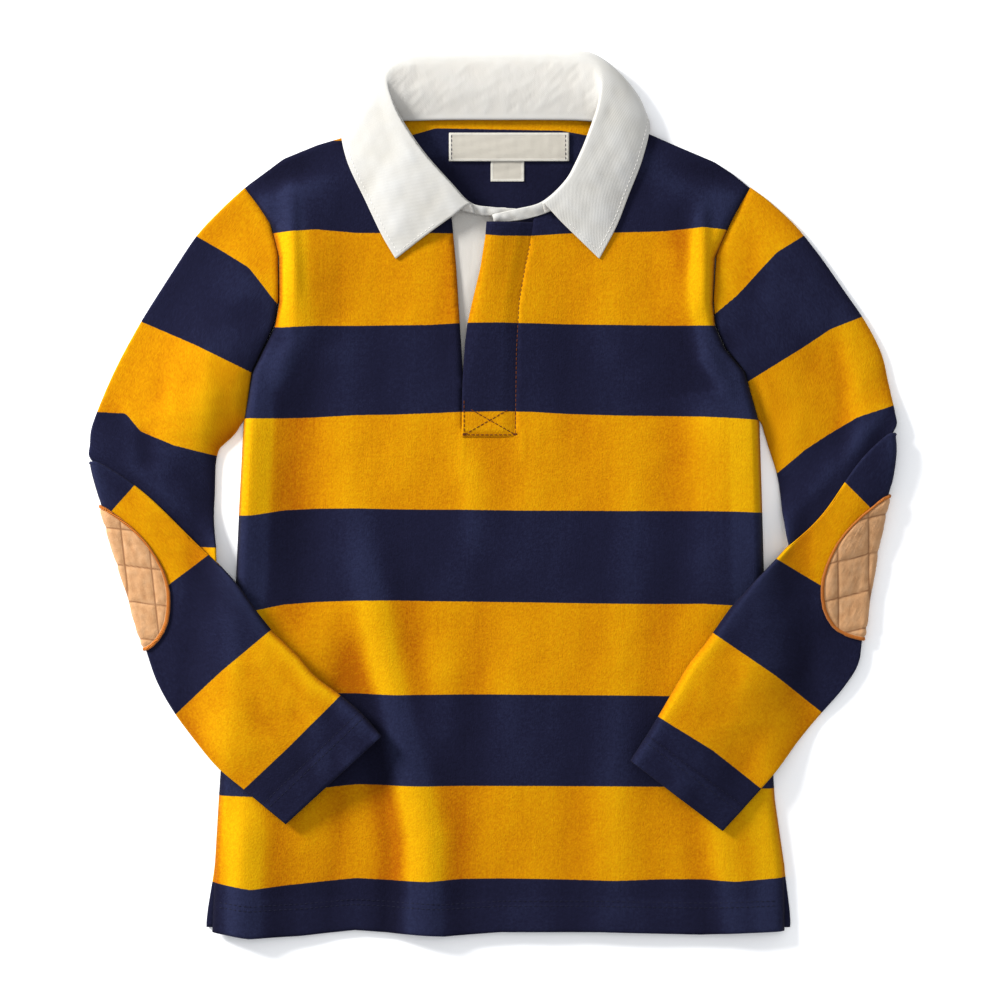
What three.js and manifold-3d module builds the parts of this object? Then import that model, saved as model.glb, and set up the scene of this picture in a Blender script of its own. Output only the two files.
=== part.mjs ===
// A child's long-sleeved rugby shirt, laid flat on its back with both forearms folded across the front.
// Lengths are in millimetres. +X is the viewer's right, +Y points to the collar, +Z is up off the table.
// Every piece of cloth is a thin wall: a slab over the table, a shell along the neck, or a flattened tube.
import * as THREE from 'three';
import Module from 'manifold-3d';
import { mergeVertices } from 'three/addons/utils/BufferGeometryUtils.js';

const wasm = await Module();
wasm.setup();

// Driving dimensions
const CLOTH = 1.2; // wall of the heavy jersey, the collar twill and the patch
const LABEL = 1.0; // wall of the woven neck label
const GAP = 0.4; // air between two layers that touch
const PITCH = CLOTH + GAP; // one layer of cloth and the air over it
const LAID = 0.7; // air between the back and what lies on it
const COVER = 0.9; // air under a piece that drapes over curved cloth
const BODY_LOFT = 2.4; // how far the front stands off the back, away from its seams
const LOFT_REACH = 42; // distance over which the front rises from its side seam
const ARMHOLE_LOFT = 3.0; // rise of the armhole seam half way down
const HEM_Y = -270;
const TIP_Y = 191; // outer end of the shoulder seam
const ARMPIT_Y = 46;
const BODY_CENTRE_X = 4;

const COLOURS = { jersey: 0xd9940c, twill: 0xf1eeea, label: 0xcec5b8, patch: 0xc8966a };

// Side edges of the front and back from the hem up, with the armholes above ARMPIT_Y.
const SIDES = [
  { y: -270, left: -174, right: 180 },
  { y: -230, left: -172.5, right: 180 },
  { y: -188, left: -170, right: 174 },
  { y: -120, left: -165.5, right: 170 },
  { y: -58, left: -159.5, right: 167.5 },
  { y: -2, left: -157, right: 166 },
  { y: 46, left: -154.5, right: 164.5 },
  { y: 77, left: -149.5, right: 155.5 },
  { y: 91, left: -142.5, right: 143.5 },
  { y: 105, left: -135.5, right: 137 },
  { y: 120, left: -132.5, right: 135.5 },
  { y: 148, left: -132.5, right: 137 },
  { y: 168, left: -137.5, right: 146 },
  { y: 180, left: -145.5, right: 152.5 },
  { y: 191, left: -154.5, right: 159 },
];

// Shoulder seams and the back neck, left to right.
const SHOULDERS = [
  { x: -154.5, y: 191 },
  { x: -130, y: 209 },
  { x: -109, y: 217.5 },
  { x: -92, y: 222.5 },
  { x: -72, y: 232 },
  { x: -58, y: 236.5 },
  { x: 4, y: 237.5 },
  { x: 66, y: 237 },
  { x: 80, y: 233 },
  { x: 96, y: 224.5 },
  { x: 113, y: 217 },
  { x: 137, y: 207 },
  { x: 148.5, y: 199.5 },
  { x: 159, y: 191 },
];

// The front hem dips where a fold comes down to it.
const HEM = [
  { x: -174, y: -270 },
  { x: -151, y: -273.5 },
  { x: -120, y: -272 },
  { x: -86, y: -268.5 },
  { x: -58, y: -270.5 },
  { x: -30, y: -272 },
  { x: 4, y: -269.5 },
  { x: 66, y: -269.5 },
  { x: 128, y: -271 },
  { x: 180, y: -269 },
];

// Soft folds of the front. crest is the line of the ridge from its upper end down, height its rise (below zero
// for a hollow), left and right how far it reaches to each side; an open fold runs off the hem without fading.
const FRONT_FOLDS = [
  {
    name: 'long drape',
    crest: [[-92, -50], [-84, -72], [-67, -120], [-48, -182], [-39.5, -236], [-37, -295]],
    height: 4.8,
    left: 17,
    right: 9,
    open: true,
  },
  { name: 'left hem', crest: [[-149, -172], [-151, -290]], height: 4.2, left: 9, right: 13, open: true },
  { name: 'middle hem', crest: [[-90, -200], [-98, -290]], height: 1.6, left: 12, right: 13, open: true },
  { name: 'centre', crest: [[2, -40], [10, -130], [14, -210]], height: 1.1, left: 15, right: 17 },
  { name: 'right drape', crest: [[78, -80], [88, -180], [98, -285]], height: 2.0, left: 20, right: 16, open: true },
  { name: 'right hem', crest: [[146, -195], [154, -285]], height: 2.4, left: 13, right: 11, open: true },
  { name: 'left armhole', crest: [[-127, 205], [-125, 160], [-121.5, 108]], height: 2.6, left: 7, right: 6 },
  { name: 'right armhole', crest: [[129, 190], [130, 150], [129.5, 106]], height: 2.6, left: 9, right: 5 },
  { name: 'right underarm', crest: [[124, 108], [136, 84], [151, 56]], height: 1.6, left: 8, right: 6 },
  { name: 'left underarm', crest: [[-126, 100], [-138, 62]], height: 1.3, left: 7, right: 8 },
];

// The same for the upper layer of each sleeve, between shoulder and elbow.
const SLEEVE_FOLDS = {
  left: [
    { name: 'outer hollow', crest: [[-208, 92], [-212, 34]], height: -1.0, left: 7, right: 7 },
    { name: 'outer ridge', crest: [[-197, 100], [-196, 30]], height: 1.2, left: 8, right: 8 },
    { name: 'inner ridge', crest: [[-178, 92], [-182, 34]], height: 1.0, left: 8, right: 7 },
    { name: 'inner hollow', crest: [[-163, 80], [-168, 36]], height: -1.0, left: 6, right: 6 },
    { name: 'elbow crease', crest: [[-238, 80], [-222, 38]], height: 1.5, left: 5, right: 5 },
    { name: 'elbow hollow', crest: [[-219, 48], [-214, 12]], height: -1.7, left: 6, right: 7 },
  ],
  right: [
    { name: 'outer ridge', crest: [[220, 100], [217, 44]], height: 1.5, left: 9, right: 11 },
    { name: 'long hollow', crest: [[201, 104], [198, 70], [194, 28]], height: -1.8, left: 7, right: 8 },
    { name: 'inner ridge', crest: [[183, 84], [184, 30]], height: 1.2, left: 8, right: 7 },
    { name: 'underarm crease', crest: [[140, 104], [152, 88]], height: -0.9, left: 4, right: 4 },
  ],
};

// Sleeve rows from the armhole to the last ring inside the elbow fold: outer and inner edge of the flattened
// tube, how much of the armhole's curve the row keeps, and how far its upper layer stands up in the middle.
const UPPER_LEFT = [
  { ox: -155.5, oy: 191, ix: -155.5, iy: 46, curve: 1, puff: 0.6 },
  { ox: -169, oy: 178, ix: -157, iy: 43.5, curve: 0.62, puff: 1.8 },
  { ox: -184.5, oy: 161.5, ix: -159.5, iy: 40.5, curve: 0.3, puff: 2.8 },
  { ox: -202, oy: 134, ix: -163, iy: 37, curve: 0.1, puff: 3.4 },
  { ox: -218, oy: 108.5, ix: -167, iy: 33.5, curve: 0, puff: 3.6 },
  { ox: -232, oy: 83, ix: -171, iy: 29, curve: 0, puff: 3.4 },
  { ox: -242, oy: 61, ix: -173, iy: 20, curve: 0, puff: 2.8 },
  { ox: -248.5, oy: 43, ix: -173.5, iy: 4, curve: 0, puff: 2.0 },
  { ox: -249.5, oy: 32, ix: -174, iy: -14, curve: 0, puff: 1.2 },
  { ox: -248.5, oy: 24.5, ix: -172, iy: -32, curve: 0, puff: 0.5 },
  { ox: -247, oy: 20, ix: -170, iy: -50, curve: 0, puff: 0 },
  { ox: -245.5, oy: 15, ix: -168.5, iy: -68, curve: 0, puff: 0 },
];
const UPPER_RIGHT = [
  { ox: 160.3, oy: 191, ix: 166.2, iy: 46, curve: 1, puff: 0.6 },
  { ox: 171, oy: 183, ix: 167.3, iy: 43, curve: 0.62, puff: 1.8 },
  { ox: 187, oy: 168.5, ix: 168.5, iy: 39, curve: 0.3, puff: 2.8 },
  { ox: 202, oy: 149, ix: 170, iy: 35, curve: 0.1, puff: 3.4 },
  { ox: 217, oy: 127.5, ix: 171.5, iy: 30, curve: 0, puff: 3.6 },
  { ox: 230, oy: 108.5, ix: 173.5, iy: 24, curve: 0, puff: 3.4 },
  { ox: 240, oy: 89, ix: 176, iy: 16, curve: 0, puff: 3.2 },
  { ox: 244.5, oy: 70, ix: 178, iy: 6, curve: 0, puff: 2.8 },
  { ox: 247.5, oy: 53, ix: 179.5, iy: -9, curve: 0, puff: 2.0 },
  { ox: 248, oy: 43.5, ix: 181.5, iy: -24, curve: 0, puff: 0.5 },
  { ox: 246, oy: 38, ix: 184, iy: -42, curve: 0, puff: 0 },
  { ox: 243.5, oy: 32, ix: 186.5, iy: -58, curve: 0, puff: 0 },
];

// Sleeve rows from the visible edge of the elbow fold to the cuff.
const FOREARM_LEFT = [
  { ox: -250.5, oy: 24, ix: -168.5, iy: -44, puff: 0 },
  { ox: -248.5, oy: 15, ix: -160, iy: -53, puff: 0 },
  { ox: -244.8, oy: 2, ix: -154.5, iy: -60, puff: 0.5 },
  { ox: -242.4, oy: -5, ix: -152.2, iy: -63.4, puff: 0.8 },
  { ox: -236.5, oy: -25, ix: -147.5, iy: -70, puff: 1.5 },
  { ox: -232.5, oy: -38, ix: -145, iy: -73.5, puff: 2 },
  { ox: -228.5, oy: -51, ix: -143, iy: -76, puff: 2.4 },
  { ox: -224.5, oy: -64, ix: -141, iy: -78.5, puff: 2.6 },
  { ox: -220, oy: -79, ix: -139, iy: -81, puff: 2.8 },
  { ox: -215, oy: -95, ix: -137, iy: -83.5, puff: 2.8 },
  { ox: -208, oy: -115, ix: -134, iy: -86.5, puff: 2.8 },
  { ox: -197, oy: -134.5, ix: -129, iy: -91, puff: 2.8 },
  { ox: -184.5, oy: -151, ix: -120, iy: -100, puff: 2.6 },
  { ox: -170.5, oy: -167, ix: -109.5, iy: -112, puff: 2.4 },
  { ox: -154.5, oy: -180.5, ix: -95, iy: -123, puff: 2 },
  { ox: -141, oy: -191.5, ix: -81.5, iy: -134.5, puff: 1.6 },
  { ox: -128.2, oy: -202, ix: -69.6, iy: -148, puff: 1.2 },
];
const FOREARM_RIGHT = [
  { ox: 249, oy: 42, ix: 182, iy: -31.5, puff: 0 },
  { ox: 249.5, oy: 29, ix: 175, iy: -39, puff: 0 },
  { ox: 247.5, oy: 13, ix: 170.5, iy: -43.5, puff: 0.5 },
  { ox: 244.3, oy: 1.5, ix: 167.4, iy: -46.6, puff: 0.9 },
  { ox: 240, oy: -16, ix: 162.5, iy: -51.5, puff: 1.5 },
  { ox: 237, oy: -30, ix: 158.5, iy: -56, puff: 2 },
  { ox: 235, oy: -43, ix: 155, iy: -60, puff: 2.4 },
  { ox: 233, oy: -56, ix: 151.5, iy: -63.5, puff: 2.6 },
  { ox: 230.5, oy: -72, ix: 148.5, iy: -67, puff: 2.8 },
  { ox: 228, oy: -89, ix: 145, iy: -71.5, puff: 2.8 },
  { ox: 225.5, oy: -104, ix: 141.5, iy: -76.5, puff: 2.8 },
  { ox: 216, oy: -119, ix: 137, iy: -83, puff: 2.8 },
  { ox: 203, oy: -134, ix: 130.5, iy: -92, puff: 2.6 },
  { ox: 189, oy: -150.5, ix: 121, iy: -104, puff: 2.4 },
  { ox: 175, oy: -169, ix: 111.5, iy: -120, puff: 2 },
  { ox: 159, oy: -187, ix: 98.5, iy: -142, puff: 1.6 },
  { ox: 141.3, oy: -206, ix: 85, iy: -163, puff: 1.2 },
];

// How much each upper arm row stands in from its outline, to lie inside the folds of the elbow's tuck.
const TUCKED = [1, 0.6, 0.2, 0, 0, 0, 0, 0, 0, 1, 1, 1];

// Bow of the elbow fold towards the upper arm: once over its length, and there and back.
const FOLD_BOW = { left: { once: 4.2, swing: 1.2 }, right: { once: 0, swing: 2.6 } };
const BOW_LEFT_IN_ROW = [1, 0.6, 0.25, 0];

// Elbow patches: rows of the forearm table that they start and end in, how far they reach in from the sleeve's
// outer edge over their length, and the share of that which goes round to the underside.
const PATCH_FIRST_ROW = 3;
const PATCH_LAST_ROW = 9;
const PATCH_REACH = {
  left: [
    { along: 0, reach: 19 },
    { along: 0.08, reach: 29 },
    { along: 0.2, reach: 33.4 },
    { along: 0.3, reach: 34 },
    { along: 0.4, reach: 32.7 },
    { along: 0.5, reach: 30.5 },
    { along: 0.6, reach: 27.3 },
    { along: 0.7, reach: 23.8 },
    { along: 0.8, reach: 19.8 },
    { along: 0.88, reach: 15.3 },
    { along: 0.94, reach: 10.4 },
    { along: 1, reach: 3 },
  ],
  right: [
    { along: 0, reach: 14 },
    { along: 0.08, reach: 24.4 },
    { along: 0.2, reach: 30.9 },
    { along: 0.3, reach: 32.1 },
    { along: 0.5, reach: 32.9 },
    { along: 0.6, reach: 31.9 },
    { along: 0.7, reach: 30.2 },
    { along: 0.8, reach: 27.7 },
    { along: 0.88, reach: 24.2 },
    { along: 0.94, reach: 20 },
    { along: 1, reach: 12 },
  ],
};
const PATCH_UNDER = { left: 0.6, right: 0.6 };
const PATCH_CELL = 21.5; // spacing of the quilting stitches
const PATCH_QUILT = 0.8; // rise of the quilting between its stitches
const PATCH_ROWS = 12;
const PATCH_AIR = 0.6; // air between the sleeve and the patch
const BEND_POINTS = 2; // points of a sleeve loop on each side of its folded edge
const PATCH_COLUMNS = 4; // on each side of the folded edge

// Collar rows from the left end of the band round the back of the neck to its right end. n is the neck seam,
// t is the top edge of the band where the leaf folds over.
const BAND = [
  { name: 'left end', nx: 15, ny: 174.5, nz: 6.6, tx: 14, ty: 178, tz: 7.4 },
  { name: 'left lap', nx: 1, ny: 174, nz: 6.8, tx: 0, ty: 178.8, tz: 8.0 },
  { name: 'left leaf end', nx: -12, ny: 175.5, nz: 7.0, tx: -14, ty: 181.5, tz: 9.5 },
  { name: 'left front', nx: -25, ny: 180.5, nz: 7.2, tx: -26, ty: 193.5, tz: 12 },
  { name: 'left throat', nx: -46, ny: 197, nz: 7.6, tx: -42.5, ty: 212, tz: 13.5 },
  { name: 'left side', nx: -62, ny: 214.5, nz: 8.2, tx: -55.5, ty: 231, tz: 14 },
  { name: 'left shoulder', nx: -69, ny: 227, nz: 7.6, tx: -62.5, ty: 246, tz: 13.5 },
  { name: 'left turn', nx: -60, ny: 232.5, nz: 5.2, tx: -65.5, ty: 261, tz: 11.5 },
  { name: 'left back', nx: -47, ny: 233.5, nz: 4.4, tx: -53, ty: 269.5, tz: 9 },
  { name: 'back left', nx: -24, ny: 234, nz: 4.2, tx: -26, ty: 271, tz: 8 },
  { name: 'back middle', nx: 4, ny: 234, nz: 4.2, tx: 4, ty: 271.5, tz: 7.8 },
  { name: 'back right', nx: 32, ny: 234, nz: 4.2, tx: 34, ty: 271.5, tz: 8 },
  { name: 'right back', nx: 55, ny: 233.5, nz: 4.4, tx: 56, ty: 270.5, tz: 9 },
  { name: 'right turn', nx: 66, ny: 231.5, nz: 5.2, tx: 66, ty: 262, tz: 11.5 },
  { name: 'right shoulder', nx: 74.5, ny: 225, nz: 7.6, tx: 65, ty: 244, tz: 13.5 },
  { name: 'right side', nx: 70, ny: 211, nz: 8.2, tx: 58.5, ty: 224, tz: 14 },
  { name: 'right throat', nx: 60, ny: 195.5, nz: 8, tx: 51.5, ty: 207.5, tz: 13.5 },
  { name: 'right front', nx: 48, ny: 184, nz: 8.2, tx: 44, ty: 194.5, tz: 12.5 },
  { name: 'right leaf end', nx: 32, ny: 175.5, nz: 8.4, tx: 30, ty: 182, tz: 11 },
  { name: 'right lap', nx: 15, ny: 171, nz: 8.4, tx: 14, ty: 177.5, tz: 10.2 },
  { name: 'right end', nx: 0.5, ny: 170, nz: 8.4, tx: -0.5, ty: 174.2, tz: 9.6 },
];
const LEAF_FIRST_ROW = 2;
const LEAF_CLEAR = { out: 0.7, up: 2.1 }; // where the leaf starts, measured from the band's top edge

// Leaf rows, one for each band row from the left leaf end to the right leaf end: a bend and a half-way point of
// the fall and its outer edge. Under the back neck the fall lies on the table.
const LEAF = [
  { bx: -25.5, by: 173.5, bz: 11, mx: -43, my: 161, mz: 9, ex: -60.5, ey: 147.5, ez: 7.2 },
  { bx: -39, by: 185, bz: 13, mx: -54.5, my: 173, mz: 10.5, ex: -69, ey: 162, ez: 7.4 },
  { bx: -54, by: 203, bz: 14.5, mx: -67, my: 193, mz: 11.5, ex: -79, ey: 183, ez: 7.6 },
  { bx: -67, by: 225, bz: 14.5, mx: -79, my: 216, mz: 12, ex: -90.5, ey: 208, ez: 8.4 },
  { bx: -74, by: 242, bz: 13.5, mx: -86.5, my: 237, mz: 9.5, ex: -94, ey: 229, ez: 5.5 },
  { bx: -78, by: 254.5, bz: 9.5, mx: -83.5, my: 249, mz: 3.2, ex: -86, ey: 236, ez: 0.6 },
  { bx: -58, by: 273.5, bz: 5.2, mx: -59, my: 264, mz: 0.7, ex: -62, ey: 228, ez: 0.6 },
  { bx: -27, by: 274.5, bz: 4.8, mx: -27.5, my: 264, mz: 0.7, ex: -29, ey: 226, ez: 0.6 },
  { bx: 4, by: 274.8, bz: 4.8, mx: 4, my: 264, mz: 0.7, ex: 4, ey: 226, ez: 0.6 },
  { bx: 35, by: 274.8, bz: 4.8, mx: 35.5, my: 264, mz: 0.7, ex: 37, ey: 226, ez: 0.6 },
  { bx: 61, by: 274.3, bz: 5.2, mx: 64, my: 264, mz: 0.7, ex: 70, ey: 228, ez: 0.6 },
  { bx: 80.5, by: 257.5, bz: 9.5, mx: 87, my: 251, mz: 3.2, ex: 90, ey: 237, ez: 0.6 },
  { bx: 79, by: 241, bz: 13.5, mx: 90.5, my: 237, mz: 9.5, ex: 96.5, ey: 230, ez: 5.5 },
  { bx: 72, by: 220, bz: 14.5, mx: 83, my: 213.5, mz: 12, ex: 92, ey: 209, ez: 8.4 },
  { bx: 62, by: 201.5, bz: 14.5, mx: 73, my: 194, mz: 11.5, ex: 84, ey: 188, ez: 7.6 },
  { bx: 54.5, by: 184, bz: 13.2, mx: 65, my: 175, mz: 10.5, ex: 76, ey: 167.5, ez: 7.4 },
  { bx: 42.5, by: 169.5, bz: 11.6, mx: 54, my: 158.5, mz: 9, ex: 65.5, ey: 147.5, ez: 7.2 },
];

// Placket: the striped upper lap, its free edge swinging open towards the top, and the white under lap.
const LAP = { right: 14.5, bottom: 37, top: 169.5 };
const LAP_FREE_EDGE = [
  { y: 37, x: -19.2 },
  { y: 60, x: -18.6 },
  { y: 106, x: -15.8 },
  { y: 128, x: -9.8 },
  { y: 150, x: -6 },
  { y: 170, x: -4 },
];
const SLOT = { right: 2, bottom: 54 }; // opening cut in the front, under the upper lap
const SLOT_LEFT_EDGE = [
  { y: 54, x: -18.8 },
  { y: 106, x: -19 },
  { y: 140, x: -21.5 },
  { y: 190, x: -26.5 },
];
const UNDER_LAP = { left: -31, right: 8, bottom: 44, top: 172 };

// Neck label and its size tab, sewn to the inside of the back.
const NECK_LABEL = { left: -27.5, right: 46.8, bottom: 208, top: 225.4 };
const SIZE_TAB = { left: -1.6, right: 18.9, bottom: 195.6, top: 207.6 };

// Number helpers
const lerp = (a, b, t) => a + (b - a) * t;
const clamp01 = (t) => Math.min(1, Math.max(0, t));
function smooth(from, to, value) {
  const t = clamp01((value - from) / (to - from));
  return t * t * (3 - 2 * t);
}
function lookup(rows, key, at, column) {
  // The rows' column at a place along their key, straight between rows.
  const last = rows.length - 2;
  let i = 0;
  while (i < last && at > rows[i + 1][key]) i += 1;
  const t = clamp01((at - rows[i][key]) / (rows[i + 1][key] - rows[i][key]));
  return lerp(rows[i][column], rows[i + 1][column], t);
}
function curved(rows, at, column) {
  // The rows' column at a fractional row number, on a smooth curve through the rows.
  const i = Math.min(rows.length - 2, Math.max(0, Math.floor(at)));
  const t = at - i;
  const p1 = rows[i][column];
  const p2 = rows[i + 1][column];
  const p0 = i > 0 ? rows[i - 1][column] : 2 * p1 - p2;
  const p3 = i + 2 < rows.length ? rows[i + 2][column] : 2 * p2 - p1;
  const bend = (2 * p0 - 5 * p1 + 4 * p2 - p3) * t * t + (3 * (p1 - p2) + p3 - p0) * t * t * t;
  return 0.5 * (2 * p1 + (p2 - p0) * t + bend);
}

// Heights of the body over the table
const COLLAR_RAISE = { from: 198, to: 216 }; // the back rises here over the collar's fall
const backBottom = (y) => PITCH * smooth(COLLAR_RAISE.from, COLLAR_RAISE.to, y);
const backTop = (y) => backBottom(y) + CLOTH;
const leftEdge = (y) => lookup(SIDES, 'y', y, 'left');
const rightEdge = (y) => lookup(SIDES, 'y', y, 'right');
const shoulderLine = (x) => lookup(SHOULDERS, 'x', x, 'y');

function armholeRise(y) {
  const along = clamp01((y - ARMPIT_Y) / (TIP_Y - ARMPIT_Y));
  return ARMHOLE_LOFT * Math.sin(Math.PI * along) ** 2;
}
function foldHeight(fold, x, y) {
  // Rise of one fold at a plan point: a bell across the nearest place of its crest, fading at its ends.
  let nearest = { distance: Infinity };
  let run = 0;
  for (let k = 0; k + 1 < fold.crest.length; k += 1) {
    const [ax, ay] = fold.crest[k];
    const [bx, by] = fold.crest[k + 1];
    const length = Math.hypot(bx - ax, by - ay);
    const t = clamp01(((x - ax) * (bx - ax) + (y - ay) * (by - ay)) / length ** 2);
    const crestX = lerp(ax, bx, t);
    const distance = Math.hypot(x - crestX, y - lerp(ay, by, t));
    if (distance < nearest.distance) nearest = { distance, crestX, run: run + t * length };
    run += length;
  }
  const share = nearest.run / run;
  const taper = smooth(0, 0.35, share) * (fold.open ? 1 : 1 - smooth(0.65, 1, share));
  const reach = x < nearest.crestX ? fold.left : fold.right;
  return fold.height * taper * Math.exp(-((nearest.distance / reach) ** 2));
}
const foldsAt = (folds, x, y) => folds.reduce((sum, fold) => sum + foldHeight(fold, x, y), 0);
function loft(x, y) {
  const inset = Math.min(x - leftEdge(y), rightEdge(y) - x);
  const away = smooth(0, LOFT_REACH, inset);
  const below = smooth(0, 26, shoulderLine(x) - y);
  const rise = lerp(armholeRise(y), BODY_LOFT, away) + foldsAt(FRONT_FOLDS, x, y) * smooth(0, 12, inset);
  return rise * below;
}
const frontBottom = (x, y) => backTop(y) + LAID + loft(x, y);
const frontTop = (x, y) => frontBottom(x, y) + CLOTH;

// Mesh builders
function solidFrom(points, faces) {
  // A closed mesh from points and triangles, turned so that its faces point out.
  let volume = 0;
  for (const [a, b, c] of faces) volume += points[a].dot(points[b].clone().cross(points[c])) / 6;
  const turned = volume < 0 ? faces.map(([a, b, c]) => [a, c, b]) : faces;
  const geometry = new THREE.BufferGeometry();
  geometry.setAttribute('position', new THREE.Float32BufferAttribute(points.flatMap((p) => p.toArray()), 3));
  geometry.setIndex(turned.flat());
  geometry.computeVertexNormals();
  return geometry;
}
function quad(faces, a, b, c, d) {
  faces.push([a, b, c], [a, c, d]);
}
function slab(lower, upper) {
  // The wall between two equal grids of points, closed round its four sides.
  const rows = lower.length;
  const columns = lower[0].length;
  const points = [...lower.flat(), ...upper.flat()];
  const low = (i, j) => i * columns + j;
  const high = (i, j) => rows * columns + low(i, j);
  const faces = [];
  for (let i = 0; i + 1 < rows; i += 1) {
    for (let j = 0; j + 1 < columns; j += 1) {
      quad(faces, high(i, j), high(i, j + 1), high(i + 1, j + 1), high(i + 1, j));
      quad(faces, low(i, j), low(i + 1, j), low(i + 1, j + 1), low(i, j + 1));
    }
  }
  const rim = [];
  for (let j = 0; j + 1 < columns; j += 1) rim.push([0, j]);
  for (let i = 0; i + 1 < rows; i += 1) rim.push([i, columns - 1]);
  for (let j = columns - 1; j > 0; j -= 1) rim.push([rows - 1, j]);
  for (let i = rows - 1; i > 0; i -= 1) rim.push([i, 0]);
  rim.forEach((here, k) => {
    const next = rim[(k + 1) % rim.length];
    quad(faces, low(...here), low(...next), high(...next), high(...here));
  });
  return solidFrom(points, faces);
}
function normalsOf(grid, closed) {
  // The unit normal of a grid of points at each point; a closed grid's rows are loops.
  const rows = grid.length;
  const columns = grid[0].length;
  const column = (j) => (closed ? (j + columns) % columns : Math.min(columns - 1, Math.max(0, j)));
  return grid.map((row, i) =>
    row.map((_, j) => {
      const along = grid[Math.min(rows - 1, i + 1)][j].clone().sub(grid[Math.max(0, i - 1)][j]);
      const across = row[column(j + 1)].clone().sub(row[column(j - 1)]);
      return along.cross(across).normalize();
    }),
  );
}
function offset(grid, normals, distance) {
  return grid.map((row, i) => row.map((p, j) => p.clone().addScaledVector(normals[i][j], distance)));
}
function shell(middle, wall) {
  // A wall either side of a grid of points, kept off the table.
  const normals = normalsOf(middle, false);
  const skins = [offset(middle, normals, -wall / 2), offset(middle, normals, wall / 2)];
  for (const p of skins.flat(2)) p.z = Math.max(0, p.z);
  return slab(...skins);
}
function tube(middle, wall) {
  // A flattened tube with open ends, from the loops that run half way through its wall.
  const normals = normalsOf(middle, true);
  const skins = [offset(middle, normals, wall / 2), offset(middle, normals, -wall / 2)];
  const rings = middle.length;
  const loop = middle[0].length;
  const at = (skin, i, j) => (skin * rings + i) * loop + (j % loop);
  const faces = [];
  for (let j = 0; j < loop; j += 1) {
    for (let i = 0; i + 1 < rings; i += 1) {
      quad(faces, at(0, i, j), at(0, i + 1, j), at(0, i + 1, j + 1), at(0, i, j + 1));
      quad(faces, at(1, i, j), at(1, i, j + 1), at(1, i + 1, j + 1), at(1, i + 1, j));
    }
    quad(faces, at(0, 0, j), at(0, 0, j + 1), at(1, 0, j + 1), at(1, 0, j));
    const end = rings - 1;
    quad(faces, at(0, end, j), at(1, end, j), at(1, end, j + 1), at(0, end, j + 1));
  }
  return solidFrom(skins.flat(2), faces);
}
const evenly = (count) => Array.from({ length: count + 1 }, (_, i) => i / count);
function slabOver(us, vs, place, lowest, wall) {
  // A slab whose plan comes from place(u, v) and whose underside is at lowest(x, y).
  const grid = (up) =>
    vs.map((v) =>
      us.map((u) => {
        const { x, y } = place(u, v);
        return new THREE.Vector3(x, y, lowest(x, y) + up);
      }),
    );
  return slab(grid(0), grid(wall));
}
function manifoldOf(geometry) {
  const bare = geometry.clone();
  bare.deleteAttribute('normal');
  bare.deleteAttribute('uv');
  const merged = mergeVertices(bare, 1e-4);
  const vertProperties = new Float32Array(merged.attributes.position.array);
  return new wasm.Manifold(
    new wasm.Mesh({ numProp: 3, vertProperties, triVerts: new Uint32Array(merged.index.array) }),
  );
}
function cutOut(geometry, outlines) {
  // The geometry less an upright prism for each outline, a list of plan points.
  let solid = manifoldOf(geometry);
  for (const outline of outlines) {
    const shape = new THREE.Shape(outline.map(({ x, y }) => new THREE.Vector2(x, y)));
    const prism = new THREE.ExtrudeGeometry(shape, { depth: 60, bevelEnabled: false });
    prism.translate(0, 0, -20);
    solid = solid.subtract(manifoldOf(prism));
  }
  const mesh = solid.getMesh();
  const result = new THREE.BufferGeometry();
  result.setAttribute('position', new THREE.BufferAttribute(mesh.vertProperties, 3));
  result.setIndex(new THREE.BufferAttribute(mesh.triVerts, 1));
  result.computeVertexNormals();
  return result;
}

// Body
const ARM_LEVELS = [180, 168, 148, 120, 105, 91, 77];
const BODY_LEVELS = [
  ...[HEM_Y, -263, -252, -240, -227, -213, -198, -182, -165, -148, -131, -114, -97, -80, -60, -38, -15, 8, 28],
  ...[ARMPIT_Y, 62, ...[...ARM_LEVELS].reverse(), 134, 158, TIP_Y],
].sort((a, b) => a - b);
const BODY_ROWS = BODY_LEVELS.map((y) => (y - HEM_Y) / (TIP_Y - HEM_Y));
function bodyPlace(u, v, hemDip) {
  const level = lerp(HEM_Y, TIP_Y, v);
  const x = lerp(leftEdge(level), rightEdge(level), u);
  const crown = shoulderLine(lerp(-154.5, 159, u)) - 191;
  const dip = lookup(HEM, 'x', lerp(-174, 180, u), 'y') - HEM_Y;
  return { x, y: level + crown * v ** 3 + hemDip * dip * (1 - v) ** 6 };
}
function neckOutline() {
  // The front neck opening: the band's seam moved in by the seam allowance, closed above the back neck.
  const allowance = 3;
  const heart = new THREE.Vector2(BODY_CENTRE_X, 208);
  const seam = (side) => {
    const rows = BAND.filter((row) => row.name.startsWith(side) && !/back|turn|lap|(left|right) end/.test(row.name));
    return rows.map((row) => {
      const p = new THREE.Vector2(row.nx, row.ny);
      return p.add(heart.clone().sub(p).setLength(allowance));
    });
  };
  return [...seam('left'), { x: -64, y: 260 }, { x: 72, y: 260 }, ...seam('right')];
}
function slotOutline() {
  const left = SLOT_LEFT_EDGE.map(({ x, y }) => ({ x, y }));
  return [...left, { x: SLOT.right, y: 190 }, { x: SLOT.right, y: SLOT.bottom }];
}
function makeFront() {
  const whole = slabOver(evenly(34), BODY_ROWS, (u, v) => bodyPlace(u, v, 1), frontBottom, CLOTH);
  return cutOut(whole, [neckOutline(), slotOutline()]);
}
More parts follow.
